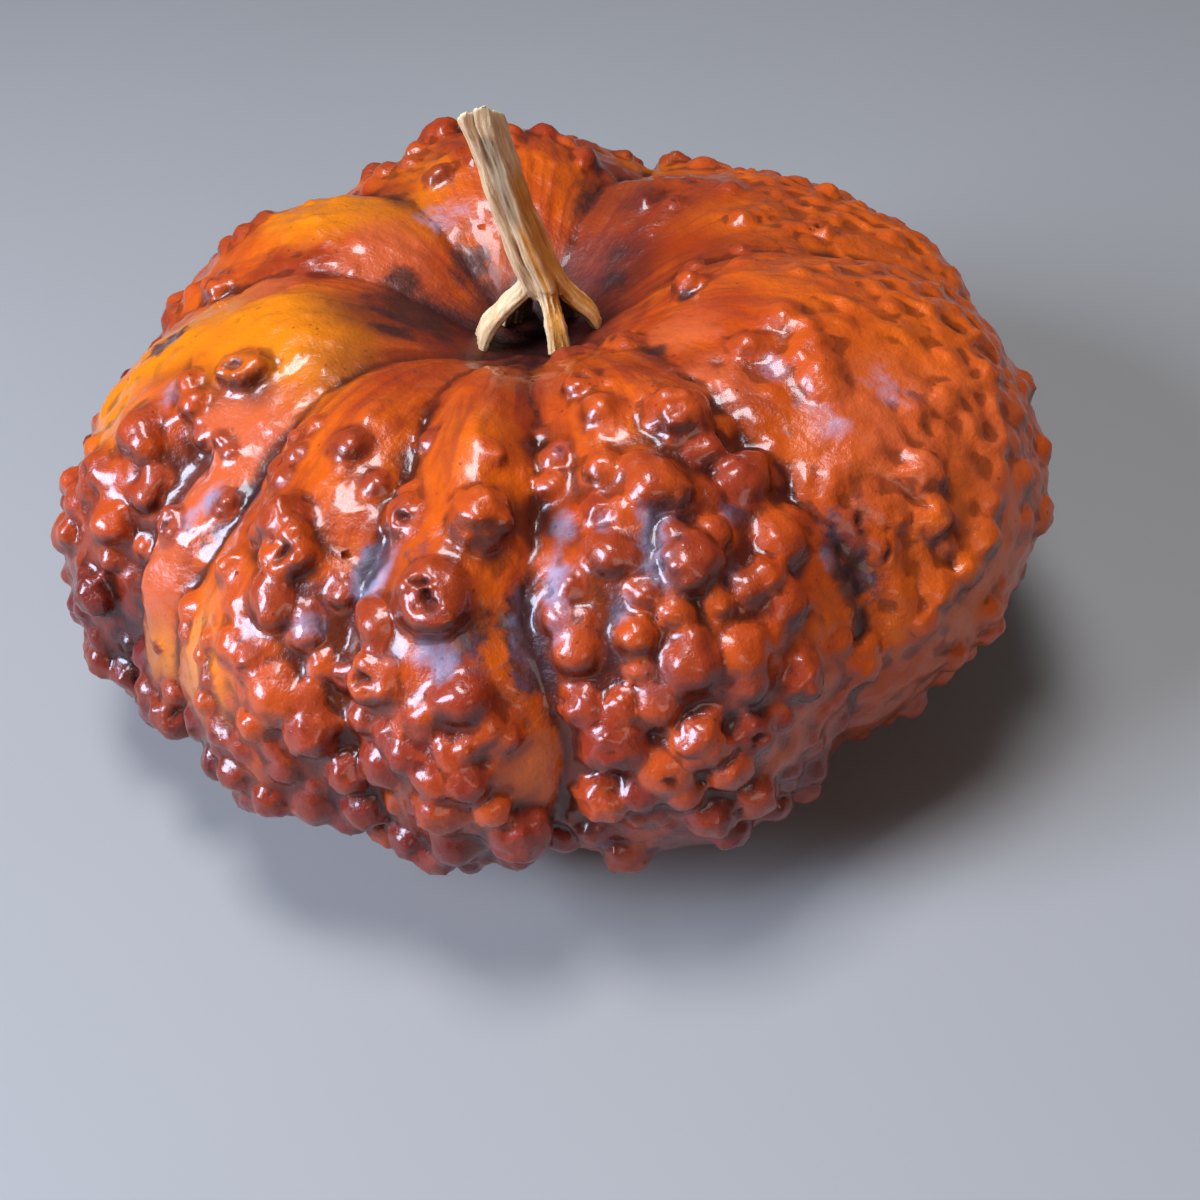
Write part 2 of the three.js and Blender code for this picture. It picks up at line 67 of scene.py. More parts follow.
# The factor and the range of the repeatable draws
DRAW_FACTOR = 48271
DRAW_RANGE = 2147483647


def smooth(value: Array) -> Array:
    """Eases a value from 0 to 1, held at both ends."""
    held = np.clip(value, 0.0, 1.0)
    return held * held * (3.0 - 2.0 * held)


def bell(value: Array) -> Array:
    """A bump of height 1 round 0."""
    return np.exp(-np.square(value))


def tint(code: str) -> tuple[float, float, float]:
    """Turns a screen colour such as C8500A into linear parts of red, green and blue."""
    parts = [int(code[place:place + 2], 16) / 255 for place in (0, 2, 4)]
    return tuple(((part + 0.055) / 1.055) ** 2.4 if part > 0.04 else part / 12.92
                 for part in parts)


def unit(vectors: Array) -> Array:
    """Vectors scaled to length 1, along the last axis."""
    return vectors / np.maximum(np.linalg.norm(vectors, axis=-1, keepdims=True), 1e-9)


@dataclass(frozen=True)
class Lobe:
    """One rib of the fruit, from its starting groove on.

    start is the azimuth of that groove, and groove its depth. reach, crest and under say how
    far the lobe goes out, up and down from the widest level, and lift raises its widest place.
    """

    start: float
    groove: float
    reach: float
    crest: float
    under: float
    lift: float


LOBES = (
    Lobe(-112, 8, 98, 54, 46, 0),
    Lobe(-91, 9, 99, 54, 45, 0),
    Lobe(-56, 9, 100, 56, 47, 6),
    Lobe(6, 8, 96, 46, 46, 8),
    Lobe(67, 12, 96, 57, 46, 2),
    Lobe(125, 8, 97, 54, 46, -4),
    Lobe(163, 10, 99, 52, 40, -7),
    Lobe(221, 11, 96, 52, 32, -4),
)


@dataclass(frozen=True)
class SquashForm:
    """The smooth ribbed form that the warts stand on."""

    lobes: tuple[Lobe, ...] = LOBES
    side_roundness: float = 0.78
    crown_roundness: float = 0.95
    crown_height: float = 54.0
    base_depth: float = 46.0
    dimple_depth: float = 25.0
    dimple_radius: float = 31.0
    recess_depth: float = 9.0
    recess_radius: float = 26.0
    scar_radius: float = 8.0
    scar_width: float = 2.2
    scar_height: float = 1.6
    groove_power: float = 2.2
    groove_sharpness: float = 0.26
    groove_wander: float = 1.5
    crown_groove: float = 0.92
    crown_groove_polar: float = 35.0
    crown_groove_width: float = 21.0
    crease_azimuth: float = -152.0
    crease_from: float = 38.0
    crease_to: float = 95.0
    crease_depth: float = 5.5
    crease_width: float = 4.5
    inward_spread: float = 45.0
    flank_from: float = 18.0
    flank_ease: float = 50.0
    base_groove: float = 0.5
    base_groove_polar: float = 146.0
    base_groove_width: float = 26.0
    crease_rise: float = 0.4

    def starts(self) -> Array:
        """Groove azimuths counted from the first one, with the full turn at the end."""
        first = self.lobes[0].start
        return np.array([(lobe.start - first) % 360.0 for lobe in self.lobes] + [360.0])

    def lobe_at(self, azimuth: Array) -> tuple[Array, Array]:
        """Finds the lobe at each azimuth.

        Args:
            azimuth: Azimuths in degrees.

        Returns:
            The index of the lobe, and the place across it from -1 to 1.
        """
        starts = self.starts()
        turned = (azimuth - self.lobes[0].start) % 360.0
        index = np.clip(np.searchsorted(starts, turned, side="right") - 1, 0, len(self.lobes) - 1)
        low, high = starts[index], starts[index + 1]
        return index, (turned - low) / (high - low) * 2.0 - 1.0

    def around(self, measure: str, azimuth: Array) -> Array:
        """Eases a measure of the lobes from the middle of one lobe to the next.

        Args:
            measure: The name of a field of Lobe.
            azimuth: Azimuths in degrees.

        Returns:
            The measure at each azimuth.
        """
        starts = self.starts()
        middles = (starts[:-1] + starts[1:]) / 2.0 + self.lobes[0].start
        turned = (azimuth - middles[0]) % 360.0
        stops = np.append((middles - middles[0]) % 360.0, 360.0)
        values = np.array([getattr(lobe, measure) for lobe in self.lobes], float)
        index = np.clip(np.searchsorted(stops, turned, side="right") - 1, 0, len(values) - 1)
        share = smooth((turned - stops[index]) / (stops[index + 1] - stops[index]))
        following = values[(index + 1) % len(values)]
        return values[index] + (following - values[index]) * share

    def groove(self, azimuth: Array) -> Array:
        """Depth of the groove between two lobes at each azimuth, in millimetres."""
        index, across = self.lobe_at(azimuth)
        depths = np.array([lobe.groove for lobe in self.lobes], float)
        depth = np.where(across < 0, depths[index], depths[(index + 1) % len(depths)])
        away = np.abs(across)
        sharp = self.groove_sharpness
        return depth * (away ** self.groove_power - sharp * bell((1.0 - away) / sharp))

    def crease(self, azimuth: Array, polar: Array) -> Array:
        """Depth of the extra crease on the left of the fruit, in millimetres."""
        aside = (azimuth - self.crease_azimuth + 180.0) % 360.0 - 180.0
        along = smooth((polar - self.crease_from) / 8) * (1 - smooth((polar - self.crease_to) / 12))
        return self.crease_depth * along * bell(aside / self.crease_width)

    def point(self, azimuth: Array, polar: Array, grooved: float = 1.0) -> Array:
        """Works out points of the form, without warts.

        Args:
            azimuth: Azimuths in degrees.
            polar: Polar angles in degrees.
            grooved: 1 for the ribbed form and 0 for its envelope.

        Returns:
            One point of three millimetre coordinates for each place.
        """
        azimuth = np.asarray(azimuth, float)
        polar = np.asarray(polar, float)
        sine = np.abs(np.sin(np.radians(polar)))
        cosine = np.cos(np.radians(polar))
        upper = cosine > 0
        radius = self.around("reach", azimuth) * sine ** self.side_roundness
        inward = bell(radius / self.inward_spread)
        lobe_height = np.where(upper, self.around("crest", azimuth), self.around("under", azimuth))
        near_pole = np.where(upper, self.crown_height, self.base_depth)
        height = lobe_height + (near_pole - lobe_height) * inward
        dimple = -self.dimple_depth * bell(radius / self.dimple_radius)
        recess = self.recess_depth * bell(radius / self.recess_radius)
        scar = -self.scar_height * bell((radius - self.scar_radius) / self.scar_width)
        wander = np.sin(np.radians(6.5 * polar + 3.0 * azimuth))
        groove = grooved * self.groove(azimuth + self.groove_wander * wander)
        crease = grooved * self.crease(azimuth, polar)
        on_flank = smooth((polar - self.flank_from) / self.flank_ease)
        on_crown = self.crown_groove * bell(
            (polar - self.crown_groove_polar) / self.crown_groove_width)
        on_base = self.base_groove * bell(
            (polar - self.base_groove_polar) / self.base_groove_width)
        reach = np.maximum(radius - groove * on_flank - crease, 0.0)
        level = height * np.sign(cosine) * np.abs(cosine) ** self.crown_roundness
        level = level + np.where(upper, dimple, recess + scar)
        level = level + self.around("lift", azimuth) * sine ** 3
        level = level - groove * on_crown + groove * on_base - self.crease_rise * crease
        turn = np.radians(azimuth)
        return np.stack([reach * np.cos(turn), reach * np.sin(turn), level], axis=-1)

    def outward(self, azimuth: Array, polar: Array) -> Array:
        """Outward unit directions of the envelope, along which warts stand."""
        nudge = 0.02
        level = np.clip(np.asarray(polar, float), 1.0, 179.0)
        along = self.point(azimuth, level + nudge, 0.0) - self.point(azimuth, level - nudge, 0.0)
        aside = self.point(azimuth + nudge, level, 0.0) - self.point(azimuth - nudge, level, 0.0)
        return unit(np.cross(along, aside))


def to_row_frame(points: Array) -> Array:
    """Turns millimetre points of the form into metres in the row frame."""
    return (points + np.array([*MIDDLE_SHIFT, FOOT_DEPTH])) * MILLIMETRE


def to_form(points: Array) -> Array:
    """Turns metre points of the row frame into millimetres of the form."""
    return points / MILLIMETRE - np.array([*MIDDLE_SHIFT, FOOT_DEPTH])


class WartKind(Enum):
    """How a wart is shaped, with its height over its radius."""

    BEAD = 0.8
    OPEN = 0.72
    SWELLING = 0.3


# Warts read from the skin, lobe by lobe: azimuth, polar angle, radius
BEADS = (
    # left lobe
    (-162, 37, 3.2), (-157.5, 38, 3.2), (-161, 47, 5.5), (-153, 41.5, 2.2), (-149, 38.5, 2),
    (-146, 39, 2), (-163.5, 57, 5), (-155.5, 52, 3), (-155, 55.5, 3.4), (-169, 57, 3.2),
    (-168, 64, 4), (-172, 72, 3.2), (-164.5, 64, 4.6), (-157, 60, 2.6), (-157.5, 62.5, 4),
    (-165, 72, 5), (-170, 78, 3), (-157, 77, 5), (-166, 82, 2.6), (-163, 86, 2.5),
    (-158, 89, 2.5), (-160, 84, 2.6), (-158, 96, 4), (-150, 87, 3.5), (-155, 97, 4),
    (-151, 94, 3), (-147, 100, 4.5), (-143, 98, 5), (-147, 93, 4), (172, 60, 2.6),
    (176, 64, 2.4), (180, 68, 2.6), (-177, 72, 2.5), (176, 72, 2.4), (-175, 78, 2.6),
    (-178, 60, 2.2), (-142, 89, 3),
    # back left lobe
    (149, 45, 3), (157, 60, 4.2), (153, 62, 3.5), (160, 66, 3.2), (156, 52, 3), (145, 38, 3),
    (148, 41, 3),
    # back lobe
    (110, 38, 3.4), (118, 36, 3.4), (114, 32, 3), (103, 22, 2), (113, 22, 3.4), (92, 30, 3),
    (85, 32, 3.4), (92, 26, 2.4), (75, 27, 4), (80, 30, 3), (98, 34, 3), (122, 34, 2.5),
    # back right lobe
    (50, 18, 2.5), (38, 29, 3.2), (42, 20, 2.6), (24, 24, 3.3), (18, 30, 3), (8, 20, 2.4),
    (7, 27, 2.8), (5, 14, 2.8), (24, 55, 4), (18, 62, 4),
    # right lobe
    (-6, 18.5, 2.5), (-12, 13, 2.6), (-19, 13.5, 3.6), (-3, 37.5, 3.4), (0, 34, 2.5),
    (-20, 39, 3), (-15, 44, 3), (-7, 47, 3.6), (-20, 47, 3.4), (-33, 27, 4), (-34, 30, 3.5),
    (-37, 32.5, 4.5), (-40, 35.5, 5.4), (-42, 38.5, 4.5), (-43, 26, 3.4), (-51, 50, 3.5),
    (-36, 50, 3.2), (-31, 53, 4), (-25, 50, 4), (-23, 57, 4.2), (-22, 65, 4.2),
    (-31, 59, 3.5), (-41, 59, 5), (-48, 56, 2.6), (-47, 62, 4), (-43, 66.5, 4.6),
    (-43, 72, 3.2), (-35, 71, 4.2), (-38, 76, 4.6), (-45.5, 79, 4.5), (-41.5, 79, 4.3),
    (-19, 80, 3.6), (-24, 88, 5), (-48, 83, 4), (-47, 88, 2.6), (-36, 100, 4), (-37, 107, 2.6),
    (-38, 92, 4), (-43, 97, 3.6), (-28, 75, 3.5), (-30, 82, 4), (-27, 68, 3.6), (-15, 70, 3.4),
    (-12, 60, 3.4), (-16, 55, 3.2), (-10, 75, 3.6),
    # front lobe
    (-75, 9, 3), (-69, 9, 2.8), (-60, 8, 3), (-55, 12, 4.4), (-77.5, 27, 4.4), (-89, 26, 1.8),
    (-86.5, 31, 3), (-88, 35, 3), (-80, 35.5, 4), (-82, 41, 3), (-79, 42, 3), (-76, 37, 3.6),
    (-74.5, 39.8, 5.8), (-72.5, 41.5, 3.6), (-66, 31.5, 6.2), (-67.5, 27.5, 3.3),
    (-63.5, 31.5, 3.4), (-66, 36, 4), (-62.5, 42.5, 5.8), (-57.5, 45, 3), (-82, 48, 4.5),
    (-87, 52, 3), (-73.5, 52, 5.4), (-74, 48, 3.2), (-69.5, 48.5, 3.5), (-62, 54, 5.4),
    (-79, 54.5, 3), (-88.5, 57, 3.6), (-86.5, 58.5, 3.4), (-87, 63, 4.5), (-76.5, 58, 3.6),
    (-72, 58.5, 3), (-68, 58, 3.6), (-65.5, 58, 3.8), (-64.5, 63, 4.2), (-81, 61, 3.5),
    (-76, 66, 5.4), (-71, 67, 5), (-71, 71.5, 4.4), (-81, 66, 3), (-80, 72, 4.4), (-87, 73, 4),
    (-83.5, 73, 4), (-84.5, 79, 5.8), (-65, 76, 4.2), (-75, 75, 2.2), (-76.5, 79.5, 5),
    (-80, 83.5, 5.4), (-82.5, 88.5, 4), (-78.5, 89, 3.5), (-86, 90, 5.2), (-74, 86, 4),
    (-71.5, 95, 4.4), (-83, 96, 2.6), (-76, 96.5, 4.5), (-84, 112, 5), (-57, 83, 5.4),
    (-59, 76, 3), (-60, 86, 2.4), (-62, 114, 3.6),
    # front left lobe
    (-109, 28, 2.5), (-96.5, 32, 2.5), (-109.5, 36, 2.5), (-97.5, 41.5, 5.5), (-109, 58, 4.6),
    (-108.5, 61.5, 3), (-110.5, 75, 3), (-108.5, 83, 4), (-107, 76, 3), (-104.5, 72, 2.2),
    (-105.5, 74, 2.2), (-103, 73.8, 2), (-103, 71, 2.6), (-103, 78, 2.6), (-105, 79, 3.5),
    (-99, 68.5, 5), (-97, 74, 3), (-95, 76, 2.6), (-100, 78, 3.5), (-102, 82.5, 4),
    (-99, 82.5, 4), (-102, 88.5, 5), (-97, 89, 3.4), (-107, 104, 4), (-104, 107, 4),
    (-101.5, 99, 4.5), (-95, 97, 6), (-96, 108, 4.5),
    # left front lobe
    (-121.5, 32.5, 4), (-132, 30.5, 2.6), (-136, 32, 2.2), (-131, 35.5, 2.6), (-134, 38, 2.6),
    (-130.5, 39.5, 2.6), (-115, 36, 2.6), (-125, 45.5, 5), (-128, 47, 3.5), (-131, 55, 4),
    (-128, 59, 2.6), (-123, 56, 5), (-118.5, 58, 3), (-118.5, 61.5, 3), (-115, 54, 3),
    (-127, 66, 3.5), (-124, 67, 4), (-138, 68, 3), (-137, 71.5, 2.2), (-131, 67, 2.2),
    (-131.5, 70.5, 2.2), (-130, 73.5, 2.2), (-121, 71, 6), (-116, 67, 3), (-117.5, 72.5, 4.4),
    (-116.5, 78, 5.4), (-130, 78, 3), (-128, 83, 3), (-123, 78, 3.5), (-125, 83.5, 3),
    (-121, 82, 2.6), (-120, 86.5, 3), (-113, 69, 3), (-113, 87, 4), (-112, 97, 4.5),
    (-114.5, 103, 4), (-118, 97, 4), (-122.5, 97, 4), (-137, 104, 4), (-131, 96, 4),
    (-127, 92, 3.5), (-134, 88, 3.6), (-126, 102, 4),
)

# Warts with a broken, open tip
OPEN_WARTS = (
    (-157, 30, 5), (-146.5, 56, 3.9), (-140.5, 47, 2.8), (160, 41, 4.3), (17, 35, 4.4),
    (-51.5, 60, 3.4), (-50, 67, 3.2), (-79, 21, 3.6), (-71.5, 81, 4), (-108.5, 40.5, 4.5),
    (-102.5, 53, 6.5), (-108.5, 67, 5), (-122.5, 49.5, 5.4),
)

# Smooth, low swellings of the skin
SWELLINGS = (
    (166, 28, 5), (134, 28, 5), (13, 40, 5), (4, 42, 5), (-46, 45.5, 9), (-53, 35, 5.5),
    (-120, 27, 5), (-90, 33, 4.5), (-147, 68, 6), (-100, 30, 6),
)


@dataclass
class Warts:
    """All warts of the skin as arrays, in millimetres of the form."""

    azimuth: Array
    polar: Array
    radius: Array
    height: Array
    open_tip: Array
    centre: Array
    outward: Array

    def __len__(self) -> int:
        """How many warts there are."""
        return len(self.radius)

    def where(self, chosen: Array) -> "Warts":
        """The warts that a mask or an index list chooses."""
        return Warts(*(getattr(self, name)[chosen] for name in self.__dataclass_fields__))

    def joined(self, other: "Warts") -> "Warts":
        """These warts followed by the other ones."""
        names = self.__dataclass_fields__
        return Warts(*(np.concatenate([getattr(self, n), getattr(other, n)]) for n in names))


@dataclass
class WartRule:
    """The rule that places the warts which aren't read one by one."""

    seed: int = 7351
    tries: int = 1500
    least_radius: float = 2.7
    radius_range: float = 3.1
    spacing: float = 0.86
    back_from: float = 10.0
    back_to: float = 168.0
    polar_from: float = 32.0
    polar_to: float = 148.0
    low_from: float = 100.0
    foot_clearance: float = 5.0
    crowd_most: float = 1.0
    crowd_polar: float = 82.0
    crowd_spread: float = 34.0
    bare_edge: float = 0.6
    edge_power: int = 4

    def draws(self, count: int) -> Array:
        """Makes repeatable draws from 0 to 1.

        Args:
            count: How many draws to make.

        Returns:
            The draws, the same on every run and on every machine.
        """
        state = self.seed
        found = np.empty(count)
        for turn in range(count):
            state = (state * DRAW_FACTOR) % DRAW_RANGE
            found[turn] = state / DRAW_RANGE
        return found

    def covers(self, azimuth: Array, polar: Array) -> Array:
        """Whether the rule covers a place: the back, and all round low down."""
        turned = azimuth % 360.0
        behind = (turned > self.back_from) & (turned < self.back_to)
        return (polar > self.low_from) | (behind & (polar > self.polar_from + 10.0))

    def crowd(self, polar: Array, across: Array) -> Array:
        """How crowded the warts stand, from 0 to 1, by height and place across the lobe."""
        crowded = self.crowd_most * bell((polar - self.crowd_polar) / self.crowd_spread)
        return crowded * (1.0 - self.bare_edge * np.abs(across) ** self.edge_power)

    def place(self, form: SquashForm, read: Warts) -> Warts:
        """Adds warts where the rule wants them and there is room.

        Args:
            form: The form that they stand on.
            read: The warts already placed.

        Returns:
            The read warts followed by the new ones.
        """
        drawn = self.draws(4 * self.tries).reshape(-1, 4)
        azimuth = 360.0 * drawn[:, 0]
        polar = self.polar_from + (self.polar_to - self.polar_from) * drawn[:, 1]
        radius = self.least_radius + self.radius_range * drawn[:, 2] ** 2
        tried = make_warts(form, azimuth, polar, radius, WartKind.BEAD)
        _, across = form.lobe_at(azimuth)
        wanted = self.covers(azimuth, polar) & (drawn[:, 3] < self.crowd(polar, across))
        wanted &= (polar < 90.0) | (tried.centre[:, 2] > self.foot_clearance - FOOT_DEPTH)
        centres = list(read.centre)
        radii = list(read.radius)
        kept = []
        for index in np.flatnonzero(wanted):
            away = np.linalg.norm(np.array(centres) - tried.centre[index], axis=1)
            if np.all(away > self.spacing * (np.array(radii) + radius[index])):
                centres.append(tried.centre[index])
                radii.append(radius[index])
                kept.append(index)
        return read.joined(tried.where(np.array(kept, int)))


@dataclass
class FineBeads(WartRule):
    """The small beads, crowded low on the lobes, with bare valleys and a bare crown."""

    seed: int = 1907
    tries: int = 4200
    least_radius: float = 1.2
    radius_range: float = 1.5
    spacing: float = 0.8
    polar_from: float = 24.0
    polar_to: float = 140.0
    crowd_most: float = 0.6
    crowd_polar: float = 96.0
    crowd_spread: float = 24.0
    bare_edge: float = 0.9
    edge_power: int = 3

    def covers(self, azimuth: Array, polar: Array) -> Array:
        """The fine beads have a place everywhere."""
        return np.ones(len(azimuth), bool)


def make_warts(form: SquashForm, azimuth: Array, polar: Array, radius: Array,
               kind: WartKind) -> Warts:
    """Sets warts on the form.

    Args:
        form: The form that they stand on.
        azimuth: Their azimuths in degrees.
        polar: Their polar angles in degrees.
        radius: Their radii in millimetres.
        kind: How they are shaped.

    Returns:
        The warts.
    """
    count = len(radius)
    return Warts(azimuth, polar, radius, radius * kind.value, np.full(count, kind is WartKind.OPEN),
                 form.point(azimuth, polar), form.outward(azimuth, polar))


def rows_to_warts(form: SquashForm, rows: tuple, kind: WartKind) -> Warts:
    """Warts of one kind from rows of azimuth, polar angle and radius."""
    return make_warts(form, *np.array(rows, float).T, kind)


@dataclass(frozen=True)
class Patch:
    """A patch of another tint on the skin, round a place, with its own stretch down the rib."""

    azimuth: float
    polar: float
    radius: float
    strength: float = 1.0
    stretch: float = 1.0


SCARS = (
    Patch(-92.5, 62, 5.5, 1.0, 1.9), Patch(-98, 60, 4.5, 0.8, 1.5), Patch(-76, 50, 7, 0.8, 1.9),
    Patch(-83, 61, 5, 0.8, 1.5), Patch(-79, 69, 6, 0.8, 1.0), Patch(-74.5, 44, 6, 0.8, 1.0),
    Patch(-71.5, 73, 7, 0.9, 1.0), Patch(-62, 58, 5, 0.7, 1.0), Patch(-53, 64, 6, 0.9, 1.9),
    Patch(-89, 46, 4, 0.6, 2.2), Patch(-118.5, 60, 5, 0.9, 1.6), Patch(-112, 52, 5, 0.7, 2.2),
    Patch(-138, 42, 5, 0.8, 1.8), Patch(-141, 50, 5, 0.7, 1.6), Patch(-108.5, 64, 5, 0.8, 1.2),
    Patch(-43, 69, 5, 0.8, 1.2), Patch(-179, 41, 5, 0.9, 1.5), Patch(-156, 60, 6, 0.6, 1.0),
    Patch(-89.5, 27, 3, 0.6, 1.4), Patch(-105, 46, 4.5, 0.6, 1.4), Patch(60, 70, 8, 0.7, 1.4),
    Patch(110, 78, 9, 0.7, 1.2), Patch(20, 92, 8, 0.7, 1.0), Patch(150, 95, 7, 0.7, 1.0),
)
GOLDEN = (
    Patch(-163, 24, 17, 1.0), Patch(-178, 38, 16, 1.0), Patch(-172, 50, 13, 1.0),
    Patch(140, 24, 17, 0.8), Patch(-133, 76, 11, 0.8, 1.3), Patch(-113, 76, 9, 0.4, 1.6),
    Patch(-91, 79, 13, 0.35, 1.2), Patch(-52, 80, 8, 0.4), Patch(118, 28, 14, 0.5),
    Patch(-145, 82, 9, 0.8, 1.3), Patch(70, 55, 18, 0.5), Patch(127, 62, 14, 0.6),
)
MAROON = (
    Patch(-157, 86, 24, 1.0), Patch(-150, 100, 22, 1.0), Patch(-133, 104, 22, 1.0),
    Patch(-118, 98, 14, 0.9), Patch(172, 70, 16, 0.9), Patch(-104, 106, 18, 0.8),
    Patch(-76, 106, 22, 0.8), Patch(-50, 108, 22, 0.7), Patch(-104, 8, 9, 0.9),
    Patch(42, 10, 13, 1.0), Patch(-160, 7, 8, 0.9), Patch(180, 90, 24, 0.9),
    Patch(100, 104, 26, 0.6), Patch(40, 108, 26, 0.6), Patch(-20, 112, 22, 0.7),
    Patch(-166, 60, 6, 0.6), Patch(-151, 30, 5, 0.8), Patch(-62, 104, 20, 0.7),
    Patch(-170, 12, 12, 0.8, 1.4), Patch(-145, 17, 11, 0.6, 1.6), Patch(50, 18, 14, 0.8, 1.3),
    Patch(14, 16, 10, 0.6, 1.2), Patch(-88, 18, 9, 0.6, 1.8), Patch(-66, 20, 7, 0.4, 1.8),
)
ROSY = (
    Patch(-146, 38, 11, 1.0, 1.5), Patch(-149, 55, 9, 1.0, 2.0), Patch(-147, 66, 9, 1.0, 1.4),
    Patch(150, 14, 12, 0.9), Patch(172, 26, 9, 0.8), Patch(-52, 26, 9, 0.7),
    Patch(-110, 52, 8, 0.5, 2.0), Patch(-44, 17, 9, 0.7), Patch(-90, 52, 6, 0.5, 2.0),
    Patch(110, 14, 8, 0.6), Patch(-40, 50, 20, 0.7), Patch(-30, 66, 22, 0.7),
    Patch(-166, 46, 9, 0.7), Patch(-96, 84, 16, 0.5), Patch(-72, 84, 16, 0.5),
)
# Blackish patches: partly sooty marks of the skin, partly painted shade in grooves, hollows and
# round the stem
SOOT_AND_SHADE = (
    Patch(0, 0.5, 7.0, 1.0), Patch(-100, 3, 5.0, 0.8), Patch(90, 4, 6.0, 1.0),
    Patch(-176, 9.5, 4.0, 1.0, 2.2), Patch(-160, 11, 3.5, 0.8, 2.4), Patch(51, 17, 6, 0.5, 1.8),
    Patch(173, 9, 6, 1.0, 1.8), Patch(159, 11, 5, 0.9), Patch(122, 9, 5.5, 0.9),
    Patch(70, 18, 4, 0.7, 2.4), Patch(43, 11, 6, 0.6, 1.8), Patch(-53.5, 17, 2.4, 1.0),
    Patch(35, 8, 5, 0.7), Patch(-166, 6.5, 4, 0.7), Patch(125, 22, 4, 0.6, 3.0),
    Patch(-56, 70, 3.5, 0.8, 3.5), Patch(-112, 96, 4, 0.8, 2.0), Patch(-151, 72, 5, 0.8, 1.8),
    Patch(-154, 88, 7, 0.8), Patch(-26, 14, 2.2, 1.0), Patch(-88, 98, 4, 0.8, 2.0),
)
# Painted bluish-white reflections on glossy slopes of the skin
PAINTED_SHEEN = (
    Patch(-111, 51, 4.5, 1.0, 1.5), Patch(-118, 60, 3.6, 0.9), Patch(-88.5, 53, 3.0, 1.0, 3.0),
    Patch(-82, 45, 2.6, 0.8, 2.2), Patch(-76.5, 50, 4.0, 0.8, 1.8), Patch(-101, 62, 3.4, 0.8, 1.6),
    Patch(-86, 31, 2.6, 0.8), Patch(-143, 50, 3.6, 0.7, 2.6), Patch(-94, 60, 2.2, 0.6, 2.0),
    Patch(120, 15, 8, 0.6), Patch(-44, 30, 4, 0.6, 1.8), Patch(-46, 42, 5, 0.7, 1.8),
    Patch(-163, 40, 5, 0.6), Patch(-57, 62, 3.2, 0.6), Patch(-76, 44, 4, 0.8, 1.4),
    Patch(-82, 56, 3.2, 0.8, 1.6), Patch(-70, 54, 3.6, 0.7, 1.4), Patch(-66, 47, 3.2, 0.7),
    Patch(-87, 42, 2.6, 0.8, 1.8), Patch(-103, 60, 3.2, 0.8, 1.6), Patch(-36, 44, 6, 0.6, 1.6),
)
PATCHES = {"scar": SCARS, "golden": GOLDEN, "maroon": MAROON, "rosy": ROSY, "soot_and_shade": SOOT_AND_SHADE,
           "painted_sheen": PAINTED_SHEEN}


